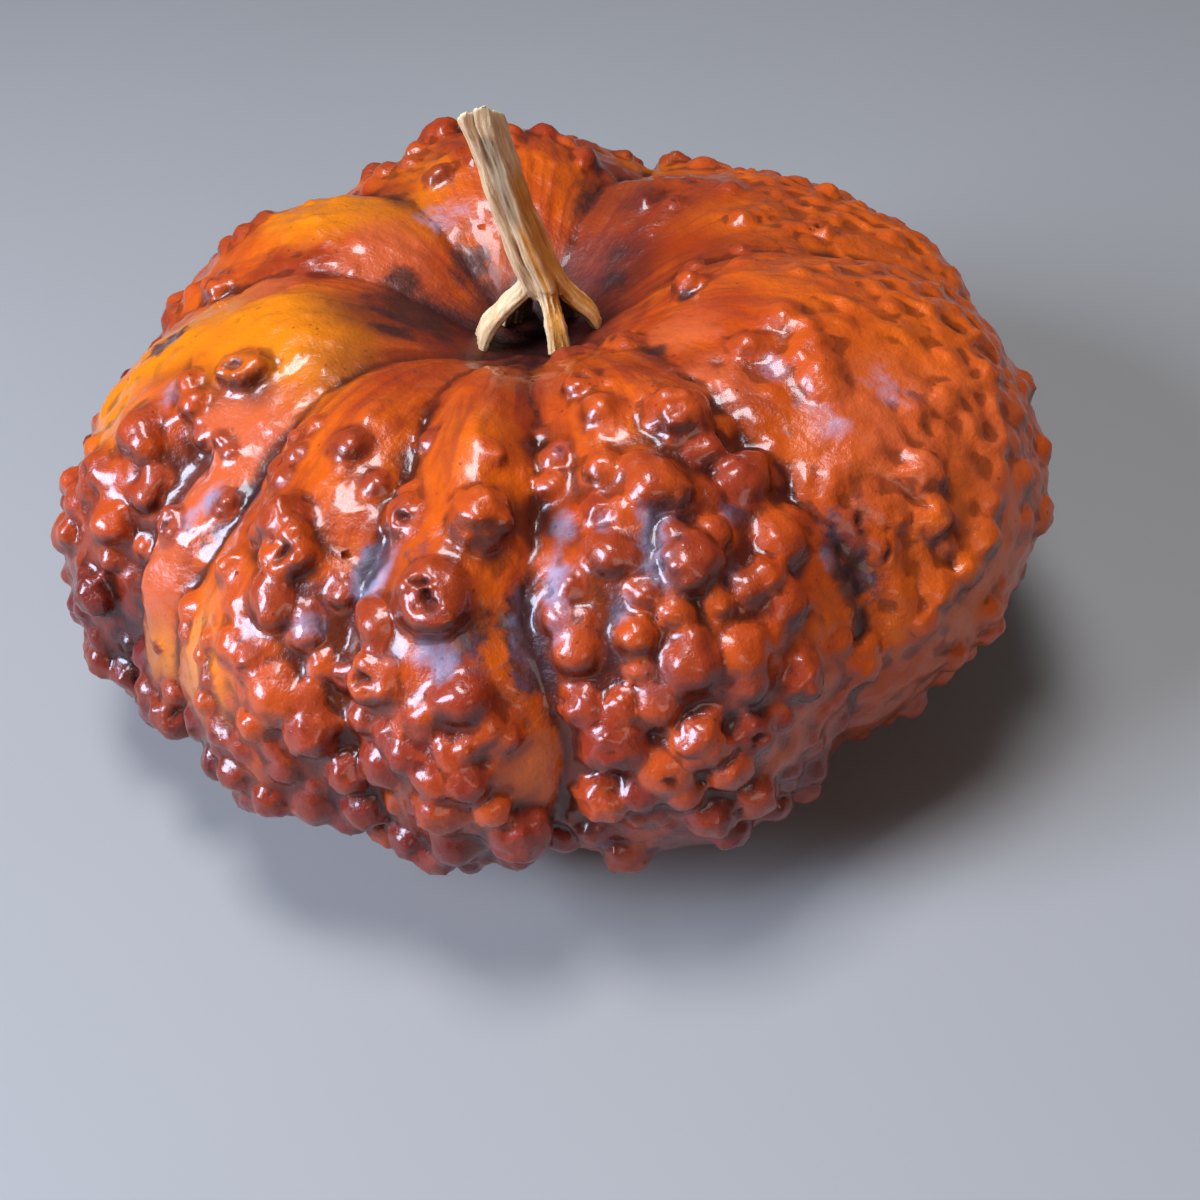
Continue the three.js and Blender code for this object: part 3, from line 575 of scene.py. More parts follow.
class Maker:
    """Steps of modelling that several pieces share."""

    @staticmethod
    def deselect() -> None:
        """Leaves nothing selected."""
        for thing in bpy.context.selected_objects:
            thing.select_set(False)

    @staticmethod
    def activate(thing: bpy.types.Object) -> None:
        """Makes one object the only selected and the active one."""
        Maker.deselect()
        thing.select_set(True)
        bpy.context.view_layer.objects.active = thing

    @staticmethod
    def apply(thing: bpy.types.Object, kind: str, **settings: object) -> None:
        """Adds a modifier and applies it.

        Args:
            thing: The object.
            kind: The modifier's type.
            **settings: Its settings by name.
        """
        Maker.activate(thing)
        modifier = thing.modifiers.new(kind.lower(), kind)
        for name, value in settings.items():
            setattr(modifier, name, value)
        bpy.ops.object.modifier_apply(modifier=modifier.name)

    @staticmethod
    def corners(mesh: bpy.types.Mesh) -> Array:
        """The vertex coordinates of a mesh, one row each."""
        flat = np.empty(len(mesh.vertices) * 3)
        mesh.vertices.foreach_get("co", flat)
        return flat.reshape(-1, 3)

    @staticmethod
    def set_corners(mesh: bpy.types.Mesh, points: Array) -> None:
        """Moves the vertices of a mesh to the given rows."""
        mesh.vertices.foreach_set("co", np.ascontiguousarray(points, float).ravel())
        mesh.update()

    @staticmethod
    def normals(mesh: bpy.types.Mesh) -> Array:
        """The vertex normals of a mesh, one row each."""
        flat = np.empty(len(mesh.vertices) * 3)
        mesh.vertex_normals.foreach_get("vector", flat)
        return flat.reshape(-1, 3)

    @staticmethod
    def triangles(mesh: bpy.types.Mesh) -> Array:
        """The vertex numbers of a mesh's triangles, one row each."""
        mesh.calc_loop_triangles()
        flat = np.empty(len(mesh.loop_triangles) * 3, np.int32)
        mesh.loop_triangles.foreach_get("vertices", flat)
        return flat.reshape(-1, 3)

    @staticmethod
    def from_triangles(name: str, points: Array, faces: Array) -> bpy.types.Object:
        """Makes an object from rows of points and of triangle corners.

        Args:
            name: The object's name.
            points: One row for each vertex, in metres.
            faces: One row of three vertex numbers for each triangle.

        Returns:
            The new object, linked to the scene.
        """
        mesh = bpy.data.meshes.new(name)
        mesh.vertices.add(len(points))
        mesh.vertices.foreach_set("co", np.ascontiguousarray(points, float).ravel())
        mesh.loops.add(faces.size)
        mesh.loops.foreach_set("vertex_index", np.ascontiguousarray(faces, np.int32).ravel())
        mesh.polygons.add(len(faces))
        mesh.polygons.foreach_set("loop_start", np.arange(0, faces.size, 3, dtype=np.int32))
        mesh.update(calc_edges=True)
        thing = bpy.data.objects.new(name, mesh)
        bpy.context.scene.collection.objects.link(thing)
        return thing

    @staticmethod
    def sphere(detail: int) -> tuple[Array, Array]:
        """The points and triangles of a unit ball, from an ico sphere primitive."""
        Maker.deselect()
        bpy.ops.mesh.primitive_ico_sphere_add(subdivisions=detail, radius=1.0)
        ball = bpy.context.object
        points, faces = Maker.corners(ball.data), Maker.triangles(ball.data)
        mesh = ball.data
        bpy.data.objects.remove(ball)
        bpy.data.meshes.remove(mesh)
        return points, faces

    @staticmethod
    def join(name: str, things: list[bpy.types.Object]) -> bpy.types.Object:
        """Joins objects into the first one and names it."""
        Maker.activate(things[0])
        for thing in things[1:]:
            thing.select_set(True)
        bpy.ops.object.join()
        things[0].name = name
        things[0].data.name = name
        return things[0]

    @staticmethod
    def store(mesh: bpy.types.Mesh, name: str, values: Array) -> None:
        """Keeps a value, or a vector of three, for each vertex as a named attribute."""
        vector = values.ndim == 2
        attribute = mesh.attributes.new(name, "FLOAT_VECTOR" if vector else "FLOAT", "POINT")
        key = "vector" if vector else "value"
        attribute.data.foreach_set(key, np.ascontiguousarray(values, np.float32).ravel())

    @staticmethod
    def neighbour_mean(mesh: bpy.types.Mesh, values: Array, rounds: int) -> Array:
        """Averages values over the neighbours of each vertex, several times.

        Args:
            mesh: The mesh whose edges join neighbours.
            values: One value or row for each vertex.
            rounds: How many times the values are averaged.

        Returns:
            The averaged values.
        """
        flat = np.empty(len(mesh.edges) * 2, np.int32)
        mesh.edges.foreach_get("vertices", flat)
        one, two = flat.reshape(-1, 2).T
        count = len(mesh.vertices)
        degree = np.bincount(one, minlength=count) + np.bincount(two, minlength=count)
        columns = values.reshape(count, -1)
        for _ in range(rounds):
            total = np.stack([
                np.bincount(one, column[two], count) + np.bincount(two, column[one], count)
                for column in columns.T], axis=-1)
            columns = total / np.maximum(degree, 1)[:, None]
        return columns.reshape(values.shape)


class Noise(Enum):
    """The noises of the two pieces, each with the seed of its draws."""

    UNEVEN = 3
    DENTS = 4
    WANDER = 5
    BROAD_FOLDS = 6
    BROAD_LUMPS = 7
    FINE_LUMPS = 8
    RAGGED = 9
    NARROW_FOLDS = 10
    BROAD_FIBRES = 21
    FINE_FIBRES = 22
    STEM_DENTS = 23
    SPLINTERS = 24


class Waves:
    """Soft repeatable noise made of crossing waves, for gentle unevenness."""

    count = 24

    def __init__(self, noise: Noise, length: float) -> None:
        """Draws the waves.

        Args:
            noise: Which noise it is.
            length: The usual wave length, in millimetres.
        """
        draw = np.random.default_rng(noise.value)
        self.ways = unit(draw.normal(size=(self.count, 3))) * (2 * math.pi / length)
        self.ways *= draw.uniform(0.6, 1.5, (self.count, 1))
        self.phases = draw.uniform(0, 2 * math.pi, self.count)
        self.scale = math.sqrt(2.0 / self.count)

    def at(self, points: Array) -> Array:
        """The noise at each point, mostly between -1 and 1."""
        total = np.zeros(len(points))
        for way, phase in zip(self.ways, self.phases):
            total += np.sin(points @ way + phase)
        return total * self.scale * 0.6


@dataclass(frozen=True)
class Pit:
    """A broken slit in the skin: its mouth, the way out of it, the way it runs, and its size."""

    mouth: Array
    axis: Array
    run: Array
    radius: float
    depth: float
    length: float = 2.0


@dataclass(frozen=True)
class Slit:
    """The shape of a slit in an open wart, by the wart's height and radius."""

    rise: float
    aside: float
    tilt: float
    turn: float
    radius: float
    depth: float


@dataclass(frozen=True)
class Seat:
    """Where one wart sits: its foot and middle, its directions, its size and its turn."""

    foot: Array
    centre: Array
    outward: Array
    first: Array
    second: Array
    radius: float
    height: float
    tall: float
    turn: float

    def aside(self, angle: float) -> Array:
        """The direction along the skin at an angle."""
        return self.first * math.cos(angle) + self.second * math.sin(angle)


class WartStyle(Enum):
    """What one wart is made of."""

    DOME = "a smooth dome, mostly with a smaller one at its side"
    CLUSTER = "a mound crowded with small beads"
    OPEN = "a lumpy dome with a broken hollow"


@dataclass
class Fruit:
    """The skin of the fruit: its ribbed form with all its warts, in one closed mesh."""

    form: SquashForm = field(default_factory=SquashForm)
    rule: WartRule = field(default_factory=WartRule)
    fine_rule: FineBeads = field(default_factory=FineBeads)
    segments: int = 400
    rings: int = 200
    voxel: float = 0.8
    most_triangles: int = 194000
    bead_flatness: float = 0.95
    sag: float = 0.22
    cluster_from: float = 72.0
    cluster_radius: float = 3.2
    cluster_shares: tuple = (0.88, 0.15)
    mound_core: tuple = (0.8, 0.86)
    least_bead: float = 1.15
    lumps: int = 5
    slits: tuple = (Slit(0.95, 0.22, 0.3, 0, 0.15, 0.38), Slit(0.9, 0.4, 0.5, 1, 0.1, 0.2))
    plain_radius: float = 2.4
    slit_chance: float = 0.08
    uneven: float = 0.7
    uneven_wave: float = 26.0
    dented: float = 0.3
    dent_wave: float = 9.0
    right_lowering: float = 0.38
    wrinkled: float = 0.95
    fold_waves: tuple = (14.0, 8.0)
    streak: float = 0.45
    streak_counts: tuple = (64, 37)
    wander_wave: float = 30.0
    lumpy: float = 0.15
    lump_waves: tuple = (4.6, 2.9)
    collar: float = 0.2
    ragged: float = 0.35
    ragged_wave: float = 2.4
    fine_rounds: int = 3
    broad_rounds: int = 20
    valley_reach: float = 78.0
    dimple_spread: float = 28.0
    red_below: float = 30.0
    right_from: float = 30.0
    low_below: float = 2.0

    def place_warts(self) -> Warts:
        """All the warts: those read, those by rule and the fine ones.

        Returns:
            The warts, which stand lower on the right of the fruit.
        """
        read = rows_to_warts(self.form, BEADS, WartKind.BEAD)
        read = read.joined(rows_to_warts(self.form, OPEN_WARTS, WartKind.OPEN))
        read = read.joined(rows_to_warts(self.form, SWELLINGS, WartKind.SWELLING))
        warts = self.fine_rule.place(self.form, self.rule.place(self.form, read))
        warts.height = warts.height * self.standing_height(warts.centre)
        return warts

    def standing_height(self, points: Array) -> Array:
        """How much of their full height the warts have at each point."""
        right = smooth((points[:, 0] - 25) / 30) * smooth((points[:, 2] + 25) / 30)
        return 1.0 - self.right_lowering * right

    def body(self, warts: Warts) -> bpy.types.Object:
        """Shapes the smooth ribbed body from a sphere.

        Args:
            warts: The warts, of which the swellings are raised here.

        Returns:
            The body as an object.
        """
        Maker.deselect()
        bpy.ops.mesh.primitive_uv_sphere_add(segments=self.segments, ring_count=self.rings)
        body = bpy.context.object
        ways = unit(Maker.corners(body.data))
        azimuth = np.degrees(np.arctan2(ways[:, 1], ways[:, 0]))
        polar = np.degrees(np.arccos(np.clip(ways[:, 2], -1, 1)))
        polar = np.clip(polar, 0.01, 179.99)
        points = self.form.point(azimuth, polar)
        outward = self.form.outward(azimuth, polar)
        away_from_pole = smooth((polar - 6) / 20)
        raised = self.uneven * Waves(Noise.UNEVEN, self.uneven_wave).at(points) * away_from_pole
        raised += self.dented * Waves(Noise.DENTS, self.dent_wave).at(points) * away_from_pole
        broad, narrow = self.fold_waves
        folds = 0.7 - 1.4 * np.abs(Waves(Noise.BROAD_FOLDS, broad).at(points))
        folds += 0.6 - 1.2 * np.abs(Waves(Noise.NARROW_FOLDS, narrow).at(points))
        side = smooth((points[:, 0] - 10) / 35) * bell((polar - 50) / 26)
        front = bell((polar - 70) / 34)
        raised += self.wrinkled * folds * (0.15 + 0.4 * front + 0.85 * side) * away_from_pole
        wander = Waves(Noise.WANDER, self.wander_wave).at(points)
        fine, coarse = self.streak_counts
        streaks = np.sin(np.radians(azimuth) * fine + 3 * wander) * np.sin(
            np.radians(azimuth) * coarse + 2 * wander)
        raised += self.streak * streaks * bell((polar - 30) / 20)
        for index in np.flatnonzero(warts.height / warts.radius < STANDING):
            away = np.linalg.norm(points - warts.centre[index], axis=1) / warts.radius[index]
            raised = np.maximum(raised, raised * 0.5 + warts.height[index] * bell(away * 1.1))
        collar = np.zeros(len(points))
        for index in np.flatnonzero(warts.height / warts.radius >= STANDING):
            away = np.linalg.norm(points - warts.centre[index], axis=1) / warts.radius[index]
            near = np.flatnonzero(away < 3.0)
            lift = self.collar * warts.height[index] * bell(away[near] * 0.7)
            collar[near] = np.maximum(collar[near], lift)
        raised += collar
        points = points + outward * raised[:, None]
        points[:, 2] = np.maximum(points[:, 2], -FOOT_DEPTH)
        Maker.set_corners(body.data, to_row_frame(points))
        return body

    def beads(self, warts: Warts) -> tuple[bpy.types.Object, list[Pit]]:
        """Makes the rounded parts of every wart.

        Args:
            warts: The warts.

        Returns:
            All the parts as one object of closed balls, and the pits to sink in them.
        """
        draw = np.random.default_rng(11)
        standing = warts.where(warts.height / warts.radius >= STANDING)
        balls, pits = [], []
        for index in range(len(standing)):
            self.shape_wart(standing, index, draw, balls, pits)
        points, faces = [], []
        shapes = {detail: Maker.sphere(detail) for detail in (2, 3)}
        offset = 0
        for centre, axes in balls:
            size = np.linalg.norm(axes[2])
            ball_points, ball_faces = shapes[3 if size > 2.6 else 2]
            points.append(centre + ball_points @ axes)
            faces.append(ball_faces + offset)
            offset += len(ball_points)
        rows = np.concatenate(points)
        rows[:, 2] = np.maximum(rows[:, 2], 0.4 - FOOT_DEPTH)
        beads = Maker.from_triangles("beads", to_row_frame(rows), np.concatenate(faces))
        return beads, pits

    def style_of(self, warts: Warts, index: int, draw: np.random.Generator) -> WartStyle:
        """Chooses what a wart is made of: clusters stand low, domes high."""
        chance = draw.uniform()
        if warts.open_tip[index]:
            return WartStyle.OPEN
        low_share, high_share = self.cluster_shares
        share = low_share if warts.polar[index] > self.cluster_from else high_share
        if warts.radius[index] > self.cluster_radius and chance < share:
            return WartStyle.CLUSTER
        return WartStyle.DOME

    def shape_wart(self, warts: Warts, index: int, draw: np.random.Generator, balls: list,
                   pits: list) -> None:
        """Works out the balls and pits of one wart.

        Args:
            warts: The standing warts.
            index: Which of them.
            draw: The source of the seeded draws.
            balls: The list that takes each ball's centre and its three axis rows.
            pits: The list that takes the pits.
        """
        outward, radius = warts.outward[index], warts.radius[index]
        style = self.style_of(warts, index, draw)
        down = np.array([0.0, 0.0, -1.0]) + outward * outward[2]
        first = unit(np.cross(outward, [0.3, 0.2, 0.9]))
        second = np.cross(outward, first)
        turn = draw.uniform(0, 2 * math.pi)
        slim, low = self.mound_core if style is WartStyle.CLUSTER else (1.0, 1.0)
        widths = draw.uniform(0.88, 1.1, 2) * slim
        tall = self.bead_flatness * radius * low
        centre = warts.centre[index] + outward * (warts.height[index] - tall)
        seat = Seat(warts.centre[index], centre, outward, first, second, radius,
                    warts.height[index], tall, turn)
        lean = down * radius * self.sag * draw.uniform(0.2, 1.3)
        balls.append((centre, np.stack([seat.aside(turn) * radius * widths[0],
                                        seat.aside(turn + math.pi / 2) * radius * widths[1],
                                        outward * tall + lean])))
        if style is WartStyle.CLUSTER:
            balls.extend(self.mound_beads(seat, draw))
        elif style is WartStyle.OPEN:
            balls.extend(self.torn_lumps(seat, draw))
            pits.extend(self.torn_pits(seat, draw))
        elif radius > self.plain_radius:
            balls.extend(self.side_domes(seat, draw))
            pits.extend(self.tip_pits(seat, draw))

    def mound_beads(self, seat: Seat, draw: np.random.Generator) -> list[tuple]:
        """The small beads that crowd a mound, as balls."""
        count = int(10 + 2.6 * seat.radius)
        balls = []
        for bead in range(count):
            tilt = math.acos(1 - (bead + 0.5) / count * 1.05)
            way = seat.aside(seat.turn + bead * GOLDEN_TURN + draw.uniform(-0.25, 0.25))
            way = way * math.sin(tilt) + seat.outward * math.cos(tilt)
            small = max(seat.radius * draw.uniform(0.22, 0.38), self.least_bead)
            balls.append((seat.centre + way * seat.radius * 0.78, np.eye(3) * small))
        return balls

    def torn_lumps(self, seat: Seat, draw: np.random.Generator) -> list[tuple]:
        """The lumps round the broken tip of an open wart, as balls."""
        balls = []
        for lump in range(self.lumps):
            turned = 2 * math.pi * (lump + draw.uniform(-0.3, 0.3)) / self.lumps
            way = seat.aside(seat.turn + turned)
            small = seat.radius * draw.uniform(0.36, 0.56)
            spot = seat.centre + way * seat.radius * 0.55
            spot = spot + seat.outward * seat.tall * draw.uniform(0.3, 0.6)
            balls.append((spot, np.eye(3) * small))
        return balls

    def torn_pits(self, seat: Seat, draw: np.random.Generator) -> list[Pit]:
        """The large and the small slit in the broken tip of an open wart."""
        pits = []
        for slit in self.slits:
            way = seat.aside(seat.turn + draw.uniform(0, 6))
            mouth = seat.foot + seat.outward * seat.height * slit.rise
            mouth = mouth + way * seat.radius * slit.aside
            pits.append(Pit(mouth, unit(seat.outward + way * slit.tilt),
                            seat.aside(seat.turn + slit.turn), seat.radius * slit.radius,
                            seat.radius * slit.depth))
        return pits

    def side_domes(self, seat: Seat, draw: np.random.Generator) -> list[tuple]:
        """The smaller domes at the side of a plain wart, as balls."""
        balls = []
        for _ in range(int(draw.integers(1, 2 + int(seat.radius / 1.3)))):
            way = seat.aside(draw.uniform(0, 2 * math.pi))
            small = seat.radius * draw.uniform(0.42, 0.7)
            spot = seat.centre + way * seat.radius * draw.uniform(0.4, 0.72)
            spot = spot + seat.outward * seat.radius * draw.uniform(-0.1, 0.35)
            balls.append((spot, np.eye(3) * small))
        return balls

    def tip_pits(self, seat: Seat, draw: np.random.Generator) -> list[Pit]:
        """The small slit that a few of the plain warts have at their tip."""
        if draw.uniform() >= self.slit_chance:
            return []
        way = seat.aside(draw.uniform(0, 2 * math.pi))
        mouth = seat.foot + seat.outward * seat.height + way * seat.radius * 0.2
        return [Pit(mouth, seat.outward, seat.aside(seat.turn), seat.radius * 0.11,
                    seat.radius * 0.2)]

    def sink_pits(self, points: Array, pits: list[Pit]) -> Array:
        """Sinks the pits in the skin.

        Args:
            points: The points of the skin, in millimetres.
            pits: The pits.

        Returns:
            The points, moved inwards in each pit.
        """
        moved = points.copy()
        for pit in pits:
            rise, aside = self.place_in_pit(points, pit)
            near = (np.abs(rise) < 8 * pit.radius) & (aside < 3 * pit.radius)
            ragged = 1 + self.ragged * Waves(Noise.RAGGED, self.ragged_wave).at(points[near])
            sink = pit.depth * bell(aside[near] * ragged / pit.radius)
            moved[near] -= sink[:, None] * pit.axis
        return moved

    @staticmethod
    def place_in_pit(points: Array, pit: Pit) -> tuple[Array, Array]:
        """How far each point is along a pit's axis, and aside from it."""
        offset = points - pit.mouth
        rise = offset @ pit.axis
        aside = offset - rise[:, None] * pit.axis
        aside = aside - (aside @ pit.run)[:, None] * pit.run * (1 - 1 / pit.length)
        return rise, np.linalg.norm(aside, axis=1)

    def build(self) -> bpy.types.Object:
        """Builds, thins and dresses the skin.

        Returns:
            The finished piece.
        """
        warts = self.place_warts()
        beads, pits = self.beads(warts)
        skin = Maker.join("squash_skin", [self.body(warts), beads])
        Maker.apply(skin, "REMESH", mode="VOXEL", voxel_size=self.voxel * MILLIMETRE,
                    adaptivity=0.0)
        Maker.apply(skin, "SMOOTH", factor=0.5, iterations=2)
        points = self.sink_pits(to_form(Maker.corners(skin.data)), pits)
        Maker.set_corners(skin.data, to_row_frame(points))
        Maker.apply(skin, "SMOOTH", factor=0.4, iterations=1)
        count = len(Maker.triangles(skin.data))
        LOG.info("skin before thinning: %d triangles", count)
        if count > self.most_triangles:
            Maker.apply(skin, "DECIMATE", ratio=self.most_triangles / count)
        Maker.apply(skin, "TRIANGULATE")
        self.mark(skin, warts, pits)
        self.roughen(skin)
        self.settle(skin)
        skin.data.polygons.foreach_set("use_smooth", np.ones(len(skin.data.polygons), bool))
        skin.data.materials.clear()
        skin.data.materials.append(SkinFinish().material())
        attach(skin, "root")
        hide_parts("fruit")
        LOG.info("skin: %d warts, %d triangles", len(warts), len(skin.data.polygons))
        return skin

    def roughen(self, skin: bpy.types.Object) -> None:
        """Makes the skin and its warts slightly lumpy, so that their gloss breaks up."""
        points = to_form(Maker.corners(skin.data))
        normals = Maker.normals(skin.data)
        broad, narrow = self.lump_waves
        lumps = self.lumpy * Waves(Noise.BROAD_LUMPS, broad).at(points)
        lumps += 0.6 * self.lumpy * Waves(Noise.FINE_LUMPS, narrow).at(points)
        Maker.set_corners(skin.data, to_row_frame(points + normals * lumps[:, None]))

    def settle(self, skin: bpy.types.Object) -> None:
        """Keeps the skin on the floor and inside the box of the solid."""
        low, high = (np.array(corner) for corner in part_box("fruit"))
        points = Maker.corners(skin.data)
        LOG.info("skin box %s %s, solid box %s %s", points.min(0), points.max(0), low, high)
        Maker.set_corners(skin.data, np.clip(points, low, high))

    def mark(self, skin: bpy.types.Object, warts: Warts, pits: list[Pit]) -> None:
        """Stores what the finish needs to know of each place on the skin.

        Args:
            skin: The piece.
            warts: The warts on it.
            pits: The pits in it.
        """
        mesh = skin.data
        points = to_form(Maker.corners(mesh))
        normals = Maker.normals(mesh)
        on_wart, shade = self.wart_cover(points, warts)
        Maker.store(mesh, "wart", on_wart)
        Maker.store(mesh, "shade", Maker.neighbour_mean(mesh, shade, 2))
        Maker.store(mesh, "pit", self.pit_cover(points, pits))
        self.mark_relief(mesh, points, normals)
        for name, patches in PATCHES.items():
            Maker.store(mesh, name, self.patchwork(points, patches))
        self.mark_regions(mesh, points, on_wart)
        self.mark_underside_shade(mesh, points, normals, on_wart)

    def wart_cover(self, points: Array, warts: Warts) -> tuple[Array, Array]:
        """Finds the warts that points lie on.

        Args:
            points: Points of the skin, in millimetres.
            warts: The warts.

        Returns:
            How far each point is on a wart, from 0 to 1, and the shade drawn for that wart.
        """
        standing = warts.where(warts.height / warts.radius >= STANDING)
        shades = np.random.default_rng(5).uniform(0, 1, len(standing))
        on_wart = np.zeros(len(points))
        shade = np.zeros(len(points))
        for index in range(len(standing)):
            radius = standing.radius[index]
            offset = points - (standing.centre[index] + standing.outward[index] * 0.3 * radius)
            near = np.flatnonzero(np.einsum("ij,ij->i", offset, offset) < (1.6 * radius) ** 2)
            cover = smooth((1.5 - np.linalg.norm(offset[near], axis=1) / radius) / 0.6)
            shade[near] = np.where(cover > on_wart[near], shades[index], shade[near])
            on_wart[near] = np.maximum(on_wart[near], cover)
        return on_wart, shade

    def pit_cover(self, points: Array, pits: list[Pit]) -> Array:
        """How far each point is in a pit, from 0 to 1."""
        in_pit = np.zeros(len(points))
        for pit in pits:
            rise, aside = self.place_in_pit(points, pit)
            cover = smooth(1.9 - aside / pit.radius) * (np.abs(rise) < 6 * pit.radius)
            in_pit = np.maximum(in_pit, cover)
        return in_pit

    def mark_relief(self, mesh: bpy.types.Mesh, points: Array, normals: Array) -> None:
        """Stores how far each point stands out from its near and from its wider surroundings.

        Args:
            mesh: The mesh of the skin.
            points: Its points, in millimetres.
            normals: Its normals.
        """
        fine = Maker.neighbour_mean(mesh, points, self.fine_rounds)
        broad = Maker.neighbour_mean(mesh, fine, self.broad_rounds)
        edge = np.einsum("ij,ij->i", points - fine, normals)
        relief = np.einsum("ij,ij->i", points - broad, normals)
        Maker.store(mesh, "edge", edge)
        Maker.store(mesh, "relief", relief)

    def mark_regions(self, mesh: bpy.types.Mesh, points: Array, on_wart: Array) -> None:
        """Stores the regions of their own tint or of painted shade, and the grain of the streaks.

        Args:
            mesh: The mesh of the skin.
            points: Its points, in millimetres.
            on_wart: How far each point is on a wart.
        """
        azimuth = np.degrees(np.arctan2(points[:, 1], points[:, 0]))
        reach = np.linalg.norm(points[:, :2], axis=1)
        _, across = self.form.lobe_at(azimuth)
        above = points[:, 2] > 0
        # the valleys and the dimple, which the finish gives stain and painted shade
        valley = smooth((np.abs(across) - 0.5) / 0.5) * smooth((self.valley_reach - reach) / 30)
        Maker.store(mesh, "valley", valley * above)
        Maker.store(mesh, "dimple", bell(reach / self.dimple_spread) * above)
        Maker.store(mesh, "streak", self.streak_grain(points))
        lower_half = smooth((self.red_below - points[:, 2]) / 45)
        right = smooth((points[:, 0] - self.right_from) / 40)
        Maker.store(mesh, "redness", on_wart * (0.5 + 0.5 * lower_half) * (1 - 0.6 * right))
        Maker.store(mesh, "pale_side", right)
        # the low part, which is given painted shade and less gloss
        Maker.store(mesh, "low", smooth((self.low_below - points[:, 2]) / 34))

    def mark_underside_shade(self, mesh: bpy.types.Mesh, points: Array, normals: Array,
                        on_wart: Array) -> None:
        """Stores where a wart faces further down than the skin that it stands on, where shade is
        painted.

        Args:
            mesh: The mesh of the skin.
            points: Its points, in millimetres.
            normals: Its normals.
            on_wart: How far each point is on a wart.
        """
        azimuth = np.degrees(np.arctan2(points[:, 1], points[:, 0]))
        reach = np.linalg.norm(points[:, :2], axis=1)
        polar = np.degrees(np.arctan2(reach / self.form.lobes[0].reach, points[:, 2] / 50))
        level = self.form.outward(azimuth, polar)[:, 2]
        # painted shade goes where a wart faces further down than its skin
        Maker.store(mesh, "under", smooth((level - normals[:, 2] - 0.1) / 0.7) * on_wart)

    def streak_grain(self, points: Array) -> Array:
        """Coordinates in which a pattern runs down the ribs, from stem to blossom end."""
        turn = np.arctan2(points[:, 1], points[:, 0])
        radius = np.linalg.norm(points[:, :2], axis=1)
        return np.stack([np.cos(turn) * 30, np.sin(turn) * 30,
                         radius * 0.08 - points[:, 2] * 0.08], axis=-1)

    def patchwork(self, points: Array, patches: tuple[Patch, ...]) -> Array:
        """How strongly a set of patches covers each point, from 0 to 1.

        Args:
            points: Points of the skin, in millimetres.
            patches: The patches.

        Returns:
            One value for each point.
        """
        cover = np.zeros(len(points))
        for patch in patches:
            spot = self.form.point(patch.azimuth, patch.polar)
            further = self.form.point(patch.azimuth, patch.polar + 1)
            down = unit(further - spot)
            offset = points - spot
            along = offset @ down
            aside = np.linalg.norm(offset - along[:, None] * down, axis=1)
            away = np.hypot(aside, along / patch.stretch) / patch.radius
            cover = np.maximum(cover, patch.strength * bell(away * 0.85))
        return cover


@dataclass(frozen=True)
class Leg:
    """One leg of the stem: which way it goes, how far, and its half width and thickness."""

    azimuth: float
    reach: float
    width: float
    thickness: float
    strands: int


